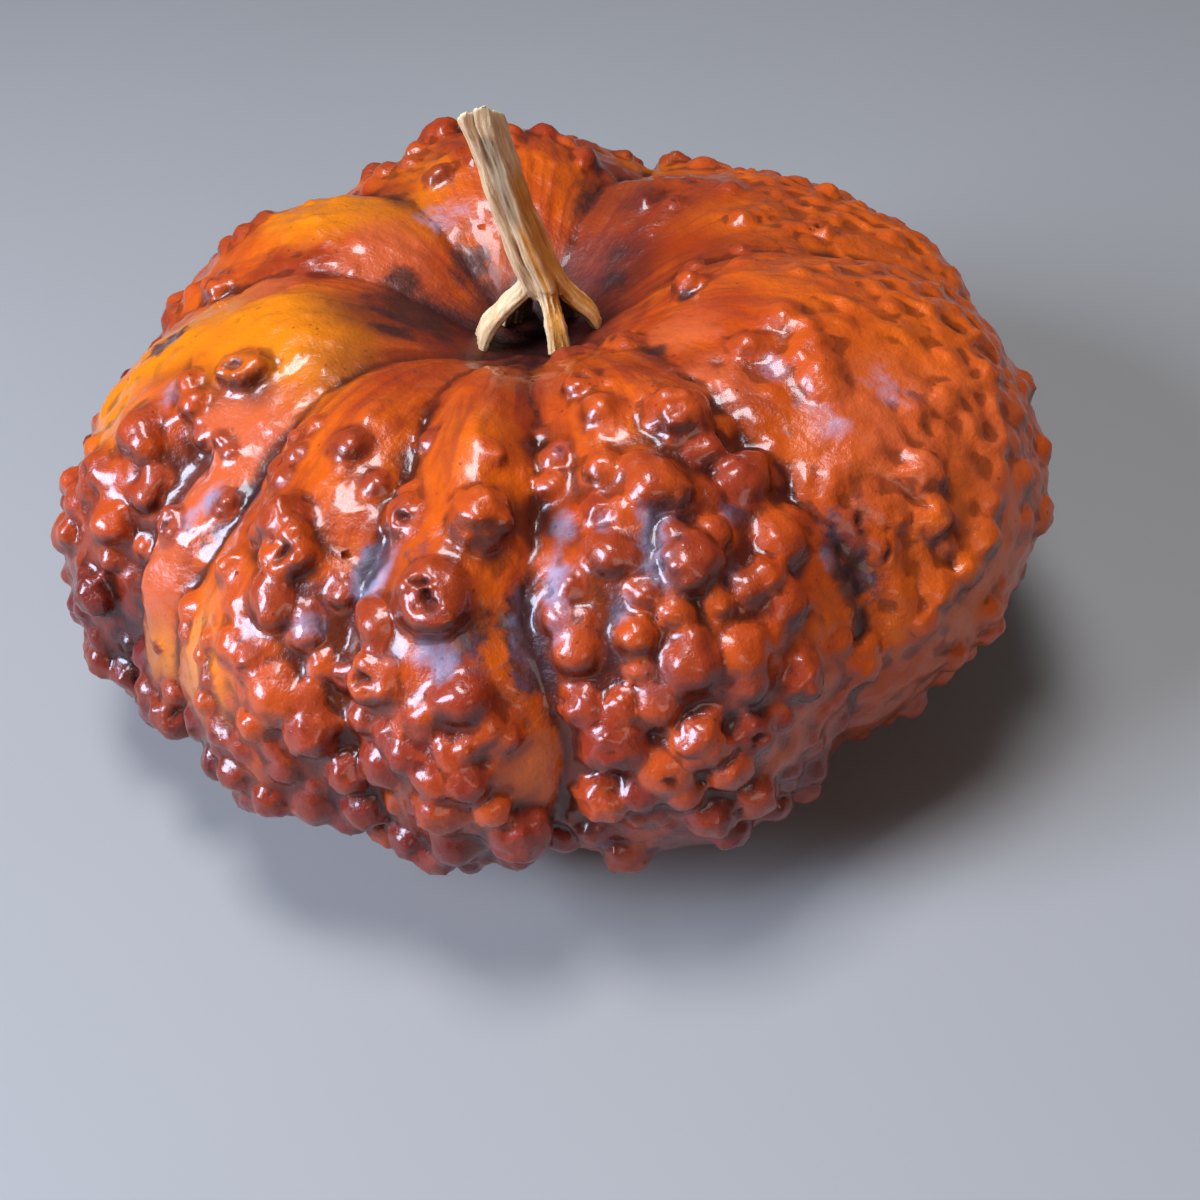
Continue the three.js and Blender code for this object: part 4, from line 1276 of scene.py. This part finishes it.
@dataclass
class Stem:
    """The dried stem: a ridged shaft that spreads into five fibrous legs on the skin."""

    path: tuple = ((3.2, 0.3, 39.8), (2.8, 0.2, 43.2), (0.5, -0.2, 51), (-1.9, -0.5, 61),
                   (-3.9, -0.9, 71), (-5.3, -1.3, 77.7))
    radii: tuple = (2.6, 4.1, 4, 3.7, 3.6, 3.9)
    end_slope: tuple = (0.2, -1.0)
    lean: float = 0.275
    legs: tuple = (Leg(184, 13.8, 2.9, 1.5, 4), Leg(-70, 7, 2.1, 1.5, 2),
                   Leg(10, 10.6, 3.0, 1.6, 3), Leg(66, 9.5, 3.4, 1.9, 3),
                   Leg(126, 10.5, 3.4, 1.9, 3))
    full_reach: float = 10.0
    leg_fan: tuple = (0.7, 0.8, 0.95, 1.15, 1.45, 1.8)
    strand_widths: tuple = (1.1, 1.25, 1.35, 1.25, 1.2, 1.2)
    strand_thicknesses: tuple = (0.7, 0.85, 0.95, 0.85, 0.8, 0.75)
    ridges: int = 5
    ridge_depth: float = 0.13
    flutes: int = 7
    flute_depth: float = 0.15
    sides: int = 60
    steps: int = 60
    fibre_waves: tuple = (3.2, 1.5)
    fibre_depths: tuple = (0.17, 0.11)
    dent_wave: float = 9.0
    dent_depth: float = 0.2
    splinter_wave: float = 1.7
    splinter_depth: float = 0.16
    hollow_depth: float = 0.8
    voxel: float = 0.32
    most_triangles: int = 80000

    def beam(self, points: Array, widths: Array, thicknesses: Array, side: Array,
             ridges: int, ridge_depth: float,
             end_slope: tuple = (0.0, 0.0)) -> bpy.types.Object:
        """Shapes a beam along a path from a cylinder.

        Args:
            points: The path, one row for each stop, in millimetres.
            widths: Half widths at the stops.
            thicknesses: Half thicknesses at the stops.
            side: The direction of the width.
            ridges: How many ridges run along it.
            ridge_depth: How deep the ridges are, over the radius.
            end_slope: How the far end rises across X and Y.

        Returns:
            The beam as an object.
        """
        Maker.deselect()
        bpy.ops.mesh.primitive_cylinder_add(vertices=self.sides, radius=1.0, depth=1.0)
        rod = bpy.context.object
        bpy.ops.object.mode_set(mode="EDIT")
        for step in range(1, self.steps):
            bpy.ops.mesh.select_all(action="SELECT")
            bpy.ops.mesh.bisect(plane_co=(0, 0, step / self.steps - 0.5), plane_no=(0, 0, 1))
        bpy.ops.object.mode_set(mode="OBJECT")
        corners = Maker.corners(rod.data)
        along = np.clip(corners[:, 2] + 0.5, 0, 1)
        centre, tangent = self.follow(points, along)
        slot = along * (len(widths) - 1)
        width = np.interp(slot, np.arange(len(widths)), widths)
        thickness = np.interp(slot, np.arange(len(widths)), thicknesses)
        turn = np.arctan2(corners[:, 1], corners[:, 0])
        ridge = 1 + ridge_depth * np.cos(ridges * turn + 0.7 * along)
        ridge += ridge_depth * 0.35 * np.cos(11 * turn + 2 * along)
        normal = unit(np.cross(side, tangent))
        offset = side * (corners[:, :1] * (width * ridge)[:, None])
        offset = offset + normal * (corners[:, 1:2] * (thickness * ridge)[:, None])
        rise = (offset[:, :2] @ np.array(end_slope)) * smooth((along - 0.7) / 0.3)
        Maker.set_corners(rod.data, to_row_frame(centre + offset + tangent * rise[:, None]))
        return rod

    def follow(self, points: Array, along: Array) -> tuple[Array, Array]:
        """Follows a smooth curve through stops.

        Args:
            points: The stops, one row each.
            along: Places from 0 to 1.

        Returns:
            The points of the curve there, and its unit directions.
        """
        stops = np.asarray(points, float)
        padded = np.concatenate([2 * stops[:1] - stops[1:2], stops, 2 * stops[-1:] - stops[-2:-1]])

        def curve(place: Array) -> Array:
            """The curve at places from 0 to 1."""
            slot = np.clip(place, 0, 1) * (len(stops) - 1)
            low = np.minimum(slot.astype(int), len(stops) - 2)
            share = (slot - low)[:, None]
            before, start, end, after = (padded[low + shift] for shift in range(4))
            return 0.5 * (2 * start + (end - before) * share
                          + (2 * before - 5 * start + 4 * end - after) * share ** 2
                          + (3 * start - before - 3 * end + after) * share ** 3)

        nudge = 0.004
        ahead = curve(np.minimum(along + nudge, 1))
        return curve(along), unit(ahead - curve(np.maximum(along - nudge, 0)))

    def strands(self, leg: Leg) -> list[bpy.types.Object]:
        """Makes the strands of one leg, which part a little towards its foot.

        Args:
            leg: The leg.

        Returns:
            One beam for each strand.
        """
        out = np.array([math.cos(math.radians(leg.azimuth)), math.sin(math.radians(leg.azimuth))])
        side = np.array([-out[1], out[0], 0.0])
        root = np.array(self.path[1], float)
        spread = min(leg.reach / self.full_reach, 1.0)
        stops = ((1.2 * spread, 53), (2.1 * spread, 47.5), (3.2 * spread, 42.5),
                 (leg.reach * 0.58, 38.4), (leg.reach * 0.83, 35.0), (leg.reach * 0.97, 30.5))
        beams = []
        for strand in range(leg.strands):
            place = (2 * strand + 1) / leg.strands - 1
            share = 1.0 / leg.strands
            points = []
            for stop, (away, height) in enumerate(stops):
                lean = self.lean * max(height - root[2], 0.0)
                middle = np.array([root[0] - lean + out[0] * away, root[1] + out[1] * away,
                                   height])
                shift = place * (1 - share) * leg.width * self.leg_fan[stop]
                bow = 0.35 * math.cos(3.1 * strand + stop * 1.3) * (stop > 1)
                points.append(middle + side * shift + np.array([0, 0, bow]))
            widths = leg.width * share * np.array(self.strand_widths)
            thick = leg.thickness * np.array(self.strand_thicknesses)
            thick = thick * (1.0 if strand % 2 else 0.86)
            beams.append(self.beam(np.array(points), widths, thick, side, self.flutes,
                                   self.flute_depth))
        return beams

    def build(self) -> bpy.types.Object:
        """Builds and dresses the stem.

        Returns:
            The finished piece.
        """
        radii = np.array(self.radii, float)
        parts = [self.beam(np.array(self.path), radii, radii, np.array([1.0, 0, 0]),
                           self.ridges, self.ridge_depth, self.end_slope)]
        for leg in self.legs:
            parts.extend(self.strands(leg))
        stem = Maker.join("dried_stem", parts)
        Maker.apply(stem, "REMESH", mode="VOXEL", voxel_size=self.voxel * MILLIMETRE,
                    adaptivity=0.0)
        Maker.apply(stem, "SMOOTH", factor=0.5, iterations=2)
        self.roughen(stem)
        count = len(Maker.triangles(stem.data))
        if count > self.most_triangles:
            Maker.apply(stem, "DECIMATE", ratio=self.most_triangles / count)
        Maker.apply(stem, "TRIANGULATE")
        low, high = (np.array(corner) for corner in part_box("stem"))
        points = Maker.corners(stem.data)
        LOG.info("stem box %s %s, solid box %s %s", points.min(0), points.max(0), low, high)
        low[2] = points[:, 2].min()
        Maker.set_corners(stem.data, np.clip(points, low, high))
        self.mark(stem)
        stem.data.polygons.foreach_set("use_smooth", np.ones(len(stem.data.polygons), bool))
        stem.data.materials.clear()
        stem.data.materials.append(StemFinish().material())
        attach(stem, "root")
        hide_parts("stem")
        LOG.info("stem: %d triangles", len(stem.data.polygons))
        return stem

    def along_shaft(self, points: Array) -> tuple[Array, Array]:
        """Where points lie beside the shaft.

        Args:
            points: Points in millimetres.

        Returns:
            Their offsets from the shaft's path in X and Y, and their turn round it.
        """
        path = np.array(self.path, float)
        centre = np.stack([np.interp(points[:, 2], path[:, 2], path[:, axis])
                           for axis in (0, 1)], axis=-1)
        offset = points[:, :2] - centre
        return offset, np.arctan2(offset[:, 1], offset[:, 0])

    def roughen(self, stem: bpy.types.Object) -> None:
        """Adds the long fibres and the shrunken unevenness of a dried stem."""
        mesh = stem.data
        points = to_form(Maker.corners(mesh))
        offset, turn = self.along_shaft(points)
        reach = np.linalg.norm(offset, axis=1)
        lengthways = np.stack([np.cos(turn) * 9, np.sin(turn) * 9,
                               points[:, 2] * 0.22 - reach * 0.1], axis=-1)
        broad, narrow = self.fibre_waves
        deep, shallow = self.fibre_depths
        fibres = Waves(Noise.BROAD_FIBRES, broad).at(lengthways) * deep
        fibres += Waves(Noise.FINE_FIBRES, narrow).at(lengthways) * shallow
        dents = Waves(Noise.STEM_DENTS, self.dent_wave).at(points) * self.dent_depth
        on_top = smooth((Maker.normals(mesh)[:, 2] - 0.45) / 0.3) * (points[:, 2] > 70)
        along_grain = points * np.array([1, 1, 0.1])
        splinters = Waves(Noise.SPLINTERS, self.splinter_wave).at(along_grain)
        splinters = splinters * self.splinter_depth * on_top
        lift = (fibres + dents) * (1 - on_top)
        moved = points + Maker.normals(mesh) * lift[:, None]
        moved[:, 2] += splinters - self.hollow_depth * on_top * bell(reach / 1.4)
        Maker.set_corners(mesh, to_row_frame(moved))

    def mark(self, stem: bpy.types.Object) -> None:
        """Stores the grain and the tint masks of the stem, with those of its painted shade."""
        mesh = stem.data
        points = to_form(Maker.corners(mesh))
        offset, turn = self.along_shaft(points)
        reach = np.linalg.norm(offset, axis=1)
        grain = np.stack([np.cos(turn) * 6, np.sin(turn) * 6,
                          points[:, 2] * 0.12 - reach * 0.05], axis=-1)
        Maker.store(mesh, "grain", grain)
        normals = Maker.normals(mesh)
        below_cut = smooth((79 - points[:, 2]) / 6)
        warm = smooth(0.5 + 0.11 * offset[:, 0] + 0.25 * normals[:, 0]) * smooth(
            (76 - points[:, 2]) / 18)
        Maker.store(mesh, "warm", warm * (0.3 + 0.7 * smooth((offset[:, 0] + 3) / 4)))
        facing = np.degrees(turn)
        strip = bell((facing + 88) / 30) * smooth((points[:, 2] - 50) / 14) * below_cut
        Maker.store(mesh, "strip", strip)
        tip = self.path[-1]
        level = (points[:, 2] - tip[2]) - (points[:, 0] - tip[0]) * self.end_slope[0] - (
            points[:, 1] - tip[1]) * self.end_slope[1]
        Maker.store(mesh, "cut", smooth((level + 1.3) / 1.0))
        broad = Maker.neighbour_mean(mesh, points, 8)
        Maker.store(mesh, "relief", np.einsum("ij,ij->i", points - broad, normals))
        # inner faces of the legs, low on the stem, where shade is painted
        root = np.array(self.path[1][:2], float)
        inwards = np.einsum("ij,ij->i", unit(root - points[:, :2]), normals[:, :2])
        inside = smooth((np.maximum(-normals[:, 2], inwards) - 0.2) / 0.5)
        inside *= smooth((47 - points[:, 2]) / 5)
        Maker.store(mesh, "inside", inside)


class Value:
    """A shader socket that takes part in Python sums."""

    def __init__(self, graph: "Graph", socket: bpy.types.NodeSocket) -> None:
        """Wraps a socket of the graph."""
        self.graph = graph
        self.socket = socket

    def math(self, operation: str, *others: "Value | float", clamp: bool = False) -> "Value":
        """A Math node on this value and the others."""
        values = {index + 1: other for index, other in enumerate(others)}
        return self.graph.node("ShaderNodeMath", {"operation": operation, "use_clamp": clamp},
                               {0: self, **values})

    def __add__(self, other: "Value | float") -> "Value":
        """Sum."""
        return self.math("ADD", other)

    __radd__ = __add__

    def __mul__(self, other: "Value | float") -> "Value":
        """Product."""
        return self.math("MULTIPLY", other)

    __rmul__ = __mul__

    def __sub__(self, other: "Value | float") -> "Value":
        """Difference."""
        return self.math("SUBTRACT", other)

    def __rsub__(self, other: float) -> "Value":
        """Difference from a number."""
        return self.graph.node("ShaderNodeMath", {"operation": "SUBTRACT"}, {0: other, 1: self})

    def held(self) -> "Value":
        """The value held between 0 and 1."""
        return self.math("ADD", 0.0, clamp=True)

    def span(self, low: float, high: float) -> "Value":
        """Eases from 0 at low to 1 at high; low may be the larger one."""
        return self.graph.node("ShaderNodeMapRange", {"interpolation_type": "SMOOTHSTEP"},
                               {"Value": self, "From Min": low, "From Max": high})

    def most(self, other: "Value | float") -> "Value":
        """The larger of two."""
        return self.math("MAXIMUM", other)


class Graph:
    """The node graph of one material."""

    def __init__(self, name: str) -> None:
        """Starts an empty material of that name."""
        self.material = bpy.data.materials.new(name)
        self.material.use_nodes = True
        self.tree = self.material.node_tree
        self.tree.nodes.clear()

    def node(self, kind: str, settings: dict | None = None, sockets: dict | None = None,
             output: int | str = 0) -> Value:
        """Adds a node.

        Args:
            kind: The node's type.
            settings: Its settings, set first.
            sockets: Values or links of its inputs, by name or number.
            output: The output to hand back.

        Returns:
            The chosen output.
        """
        made = self.tree.nodes.new(kind)
        for key, setting in (settings or {}).items():
            setattr(made, key, setting)
        for key, value in (sockets or {}).items():
            if isinstance(value, Value):
                self.tree.links.new(value.socket, made.inputs[key])
            else:
                made.inputs[key].default_value = value
        return Value(self, made.outputs[output])

    def attribute(self, name: str, output: str = "Fac") -> Value:
        """An attribute of the mesh."""
        return self.node("ShaderNodeAttribute", {"attribute_name": name}, output=output)

    def place(self) -> Value:
        """Object coordinates."""
        return self.node("ShaderNodeTexCoord", output="Object")

    def noise(self, where: Value, scale: float, detail: float = 3.0, rough: float = 0.55,
              twist: float = 0.0) -> Value:
        """Noise from 0 to 1, its scale in waves a metre on object coordinates."""
        return self.node("ShaderNodeTexNoise", {"noise_dimensions": "3D"},
                         {"Vector": where, "Scale": scale, "Detail": detail, "Roughness": rough,
                          "Distortion": twist})

    def cells(self, where: Value, scale: float, feature: str = "F1") -> Value:
        """Distance to the nearest cell point."""
        return self.node("ShaderNodeTexVoronoi", {"feature": feature},
                         {"Vector": where, "Scale": scale}, "Distance")

    def mix(self, share: Value | float, first: Value | tuple, second: Value | tuple) -> Value:
        """Mixes two colours.

        Args:
            share: How much of the second, from 0 to 1.
            first: A colour, or a link.
            second: A colour, or a link.

        Returns:
            The mixed colour.
        """
        pair = [colour if isinstance(colour, Value) else (*colour, 1.0)
                for colour in (first, second)]
        return self.node("ShaderNodeMix", {"data_type": "RGBA", "blend_type": "MIX"},
                         {0: share, 6: pair[0], 7: pair[1]}, 2)

    def bump(self, height: Value, strength: float, distance: float,
             normal: Value | None = None) -> Value:
        """Turns a height into a normal."""
        sockets = {"Height": height, "Strength": strength, "Distance": distance}
        if normal is not None:
            sockets["Normal"] = normal
        return self.node("ShaderNodeBump", {}, sockets)

    def finish(self, **sockets: "Value | float | tuple") -> bpy.types.Material:
        """Ends the graph in a Principled shader.

        Args:
            **sockets: Its inputs, with underscores for spaces.

        Returns:
            The material.
        """
        named = {key.replace("_", " "): value for key, value in sockets.items()}
        shader = self.node("ShaderNodeBsdfPrincipled", {}, named)
        end = self.tree.nodes.new("ShaderNodeOutputMaterial")
        self.tree.links.new(shader.socket, end.inputs["Surface"])
        return self.material


@dataclass(frozen=True)
class SkinFinish:
    """The glossy rind: orange between the ribs, red on the warts, with scars, stains, painted shade
    and painted reflections.
    """

    deep_orange: tuple = tint("B23C06")
    bright_orange: tuple = tint("D85C08")
    right_orange: tuple = tint("E0641A")
    valley_stain_and_shade: tuple = tint("7C2406")
    gold: tuple = tint("E67C04")
    salmon: tuple = tint("CE5C30")
    wart_red: tuple = tint("862A1A")
    wart_orange: tuple = tint("BE4816")
    pale_wart: tuple = tint("C64A16")
    maroon: tuple = tint("5A1B1A")
    dimple_brown_and_shade: tuple = tint("5E1E12")
    scar_grey: tuple = tint("38384A")
    scar_and_shade_brown: tuple = tint("33201E")
    painted_sheen_blue: tuple = tint("A3AECB")
    shade_and_speck_colour: tuple = tint("2E0A08")
    cloud_scale: float = 45.0
    blotch_scale: float = 60.0
    mottle_scale: float = 190.0
    scar_scale: float = 320.0
    freckle_scale: float = 520.0
    grain_scale: float = 900.0
    pore_scale: float = 1100.0
    least_roughness: float = 0.2
    gloss: float = 0.6
    gloss_roughness: float = 0.13
    reflection: float = 0.3

    def material(self) -> bpy.types.Material:
        """Builds the material.

        Returns:
            The material of the rind.
        """
        graph = Graph("warty_rind")
        place = graph.place()
        streaks = graph.attribute("streak", "Vector")
        wart = graph.attribute("wart")
        pit = graph.attribute("pit")
        relief = graph.attribute("relief")
        edge = graph.attribute("edge")
        cloud = graph.noise(place, self.cloud_scale, 4.0, 0.6)
        mottle = graph.noise(place, self.mottle_scale, 5.0, 0.65)
        lines = graph.noise(streaks, 0.55, 4.0, 0.6, 0.4)
        base = graph.mix(cloud.span(0.35, 0.68), self.deep_orange, self.bright_orange)
        base = graph.mix(lines.span(0.42, 0.7) * 0.55, base, self.wart_red)
        # valleys near the crown, deeper brown: partly stain of the skin, partly painted shade in
        # the grooves
        valley = (graph.attribute("valley") + (lines - 0.5) * 0.8).span(0.25, 0.95)
        base = graph.mix(valley * 0.6, base, self.valley_stain_and_shade)
        blotch = graph.noise(place, self.blotch_scale, 5.0, 0.65).span(0.5, 0.8)
        base = graph.mix(blotch * 0.5, base, self.valley_stain_and_shade)
        base = graph.mix(graph.attribute("pale_side") * 0.45, base, self.right_orange)
        gold = (graph.attribute("golden") + (cloud - 0.5) * 0.9).span(0.25, 0.8)
        base = graph.mix(gold * 0.95, base, self.gold)
        rose = (graph.attribute("rosy") + (mottle - 0.5) * 0.7).span(0.25, 0.85)
        base = graph.mix(rose * 0.8, base, self.salmon)
        red = graph.mix((graph.attribute("shade") + (mottle - 0.5) * 1.3).span(0.15, 0.85),
                        self.wart_red, self.wart_orange)
        red = graph.mix(graph.attribute("pale_side") * 0.8, red, self.pale_wart)
        redness = (graph.attribute("redness") + (cloud - 0.5) * 0.5).span(0.08, 0.75)
        base = graph.mix(redness * 0.92, base, red)
        # maroon-brown round the stem: partly the skin's own colour, partly painted shade in the
        # dimple
        dimple = (graph.attribute("dimple") + (mottle - 0.5) * 0.7).span(0.3, 0.85)
        base = graph.mix(dimple * 0.85, base, self.dimple_brown_and_shade)
        stain = (graph.attribute("maroon") + (cloud - 0.5) * 0.9).span(0.3, 0.95)
        base = graph.mix(stain * 0.78, base, self.maroon)
        scarred = (graph.attribute("scar") + (mottle - 0.5) * 1.4).span(0.45, 0.75)
        spots = graph.noise(place, self.scar_scale, 4.0, 0.7).span(0.4, 0.6)
        scar = graph.mix(spots, self.scar_grey, self.scar_and_shade_brown)
        base = graph.mix(scarred * (1.0 - wart * 0.6) * 0.85, base, scar)
        # partly sooty marks, partly painted shade in grooves, hollows and round the stem
        soot_and_shade = (graph.attribute("soot_and_shade") + (mottle - 0.5) * 0.9).span(0.35, 0.8)
        base = graph.mix(soot_and_shade * 0.85, base, self.scar_and_shade_brown)
        # painted bluish-white reflections
        painted_sheen = (graph.attribute("painted_sheen") + (mottle - 0.5) * 0.9).span(0.4, 0.9)
        base = graph.mix(painted_sheen * 0.62, base, self.painted_sheen_blue)
        # painted shade: deeper maroon towards the bottom
        base = graph.mix(graph.attribute("low") * 0.4, base, self.maroon)
        # painted shade on the undersides of the warts
        base = graph.mix(graph.attribute("under") * 0.85, base, self.shade_and_speck_colour)
        # painted shade in the hollows between warts, along sharp creases and in the pits
        painted_shade = relief.span(-0.2, -0.85).most(edge.span(-0.04, -0.16) * 0.6).most(pit * 0.75)
        base = graph.mix(painted_shade * 0.85, base, self.shade_and_speck_colour)
        # small specks of the skin's own, in the same colour as the painted shade
        freckle = graph.cells(place, self.freckle_scale).span(0.22, 0.1) * mottle.span(0.5, 0.62)
        base = graph.mix(freckle * 0.5, base, self.shade_and_speck_colour)
        dull = graph.attribute("dimple").span(0.2, 0.8).most(pit)
        rough = (self.least_roughness + mottle * 0.2 + scarred * 0.1 + dull * 0.25).held()
        coat = self.gloss - dull * 0.5 - graph.attribute("pale_side") * 0.28
        coat = (coat - graph.attribute("low") * 0.22).held()
        fine = graph.noise(place, self.grain_scale, 5.0, 0.6)
        pores = graph.cells(place, self.pore_scale, "SMOOTH_F1")
        normal = graph.bump(lines * 0.6 + fine * 0.35 + pores * 0.25, 0.35, 0.0006)
        normal = graph.bump(mottle, 0.4, 0.0014, normal)
        return graph.finish(Base_Color=base, Roughness=rough, Normal=normal, Coat_Weight=coat,
                            Coat_Roughness=self.gloss_roughness,
                            Specular_IOR_Level=self.reflection)


@dataclass(frozen=True)
class StemFinish:
    """Dry stem tissue: pale tan to yellow brown, with long fibres."""

    tan: tuple = tint("D6A876")
    pale: tuple = tint("F2D2A2")
    ochre: tuple = tint("D88A20")
    grey: tuple = tint("8A775C")
    painted_shade: tuple = tint("3C281C")
    cut_cream: tuple = tint("E6D2A4")
    cloud_scale: float = 160.0
    roughness: float = 0.72

    def material(self) -> bpy.types.Material:
        """Builds the material.

        Returns:
            The material of the stem.
        """
        graph = Graph("dried_stem_tissue")
        place = graph.place()
        grain = graph.attribute("grain", "Vector")
        fibre = graph.noise(grain, 1.9, 5.0, 0.65)
        fine = graph.noise(grain, 5.0, 4.0, 0.7)
        cloud = graph.noise(place, self.cloud_scale, 4.0, 0.6)
        warm = (graph.attribute("warm") + (cloud - 0.5) * 0.4).span(0.22, 0.68)
        base = graph.mix(fibre.span(0.38, 0.62), self.tan, self.pale)
        base = graph.mix(warm * 0.9, base, self.ochre)
        strip = (graph.attribute("strip") + (cloud - 0.5) * 0.7).span(0.3, 0.8)
        base = graph.mix(strip * 0.75, base, self.grey)
        base = graph.mix(fine.span(0.56, 0.74) * 0.4, base, self.grey)
        relief = graph.attribute("relief")
        # painted shade in the grooves between the fibres; paler on the raised ridges
        base = graph.mix(relief.span(-0.04, -0.4) * 0.8, base, self.painted_shade)
        base = graph.mix(relief.span(0.06, 0.3) * 0.5, base, self.pale)
        base = graph.mix(graph.attribute("cut") * 0.8, base, self.cut_cream)
        # painted shade on the inner faces of the legs, under the stem
        base = graph.mix(graph.attribute("inside") * 0.95, base, self.painted_shade)
        normal = graph.bump(fibre * 0.7 + fine * 0.5, 0.6, 0.0005)
        return graph.finish(Base_Color=base, Roughness=self.roughness, Normal=normal)


@dataclass(frozen=True)
class SoftBox:
    """A soft lamp: its place and size in metres, its power in watts and its colour."""

    name: str
    spot: tuple
    size: tuple
    power: float
    colour: tuple


LAMPS = (
    SoftBox("left_soft_box", (-0.85, -0.4, 0.62), (0.42, 0.5), 20.0, (0.63, 0.75, 1.0)),
    SoftBox("top_soft_box", (-0.1, -0.05, 1.05), (0.4, 0.3), 8.0, (0.86, 0.9, 1.0)),
    SoftBox("front_soft_box", (0.35, -1.0, 0.5), (0.5, 0.35), 1.2, (1.0, 0.92, 0.84)),
)


@dataclass
class Studio:
    """The plain pale floor, the soft lamps and the camera."""

    elevation: float = 40.0
    distance: float = 348.0
    roll: float = -5.0
    lens: float = 50.0
    frame_pixels: int = 1200
    body_pixel: tuple = (547, 466)
    floor_size: float = 6.0
    floor_tints: tuple = (tint("9A9793"), tint("A4A19D"))
    lamps: tuple[SoftBox, ...] = LAMPS
    lamp_target: tuple = (0, 0, 0.05)
    surroundings: tuple = (0.80, 0.84, 0.92, 1.0)
    surroundings_strength: float = 0.09

    def camera(self) -> None:
        """Sets the camera so that the middle of the fruit's form lands on its pixel."""
        data = bpy.data.cameras.new("camera")
        data.lens = self.lens
        data.sensor_width = 36.0
        data.sensor_fit = "HORIZONTAL"
        camera = bpy.data.objects.new("camera", data)
        bpy.context.scene.collection.objects.link(camera)
        lean = math.radians(self.elevation)
        forward = np.array([0.0, math.cos(lean), -math.sin(lean)])
        right = np.array([1.0, 0.0, 0.0])
        up = np.cross(right, forward)
        turn = math.radians(self.roll)
        right, up = (right * math.cos(turn) + up * math.sin(turn),
                     up * math.cos(turn) - right * math.sin(turn))
        half = self.frame_pixels / 2
        focal = half * self.lens / 18.0
        aside = (self.body_pixel[0] - half) / focal * self.distance
        down = (self.body_pixel[1] - half) / focal * self.distance
        spot = -forward * self.distance - right * aside + up * down
        matrix = Matrix.Identity(4)
        for column, axis in enumerate((right, up, -forward)):
            for row in range(3):
                matrix[row][column] = axis[row]
        matrix.translation = Vector(to_row_frame(spot))
        camera.matrix_world = matrix
        bpy.context.scene.camera = camera

    def floor(self) -> None:
        """Lays the plain pale floor."""
        Maker.deselect()
        bpy.ops.mesh.primitive_plane_add(size=self.floor_size, location=(0, 0, 0))
        floor = bpy.context.object
        floor.name = "floor"
        graph = Graph("pale_floor")
        cloud = graph.noise(graph.place(), 3.0, 4.0, 0.6)
        shade = graph.mix(cloud, *self.floor_tints)
        floor.data.materials.append(graph.finish(Base_Color=shade, Roughness=0.7))

    def hang(self, lamp: SoftBox) -> None:
        """Hangs one lamp and points it at the fruit.

        Args:
            lamp: The lamp.
        """
        data = bpy.data.lights.new(lamp.name, "AREA")
        data.shape = "RECTANGLE"
        data.size, data.size_y = lamp.size
        data.energy = lamp.power
        data.color = lamp.colour
        box = bpy.data.objects.new(lamp.name, data)
        bpy.context.scene.collection.objects.link(box)
        box.location = lamp.spot
        way = Vector(self.lamp_target) - Vector(lamp.spot)
        box.rotation_euler = way.to_track_quat("-Z", "Y").to_euler()

    def build(self) -> None:
        """Sets up floor, lamps, surroundings and camera."""
        self.camera()
        self.floor()
        for lamp in self.lamps:
            self.hang(lamp)
        world = bpy.context.scene.world or bpy.data.worlds.new("surroundings")
        bpy.context.scene.world = world
        world.use_nodes = True
        background = world.node_tree.nodes["Background"]
        background.inputs["Color"].default_value = self.surroundings
        background.inputs["Strength"].default_value = self.surroundings_strength
        bpy.context.scene.view_settings.view_transform = "Standard"


def main() -> None:
    """Builds the looks of the squash."""
    logging.basicConfig(level=logging.INFO, format="%(name)s: %(message)s")
    Studio().build()
    Fruit().build()
    Stem().build()


if __name__ == "__main__":
    main()
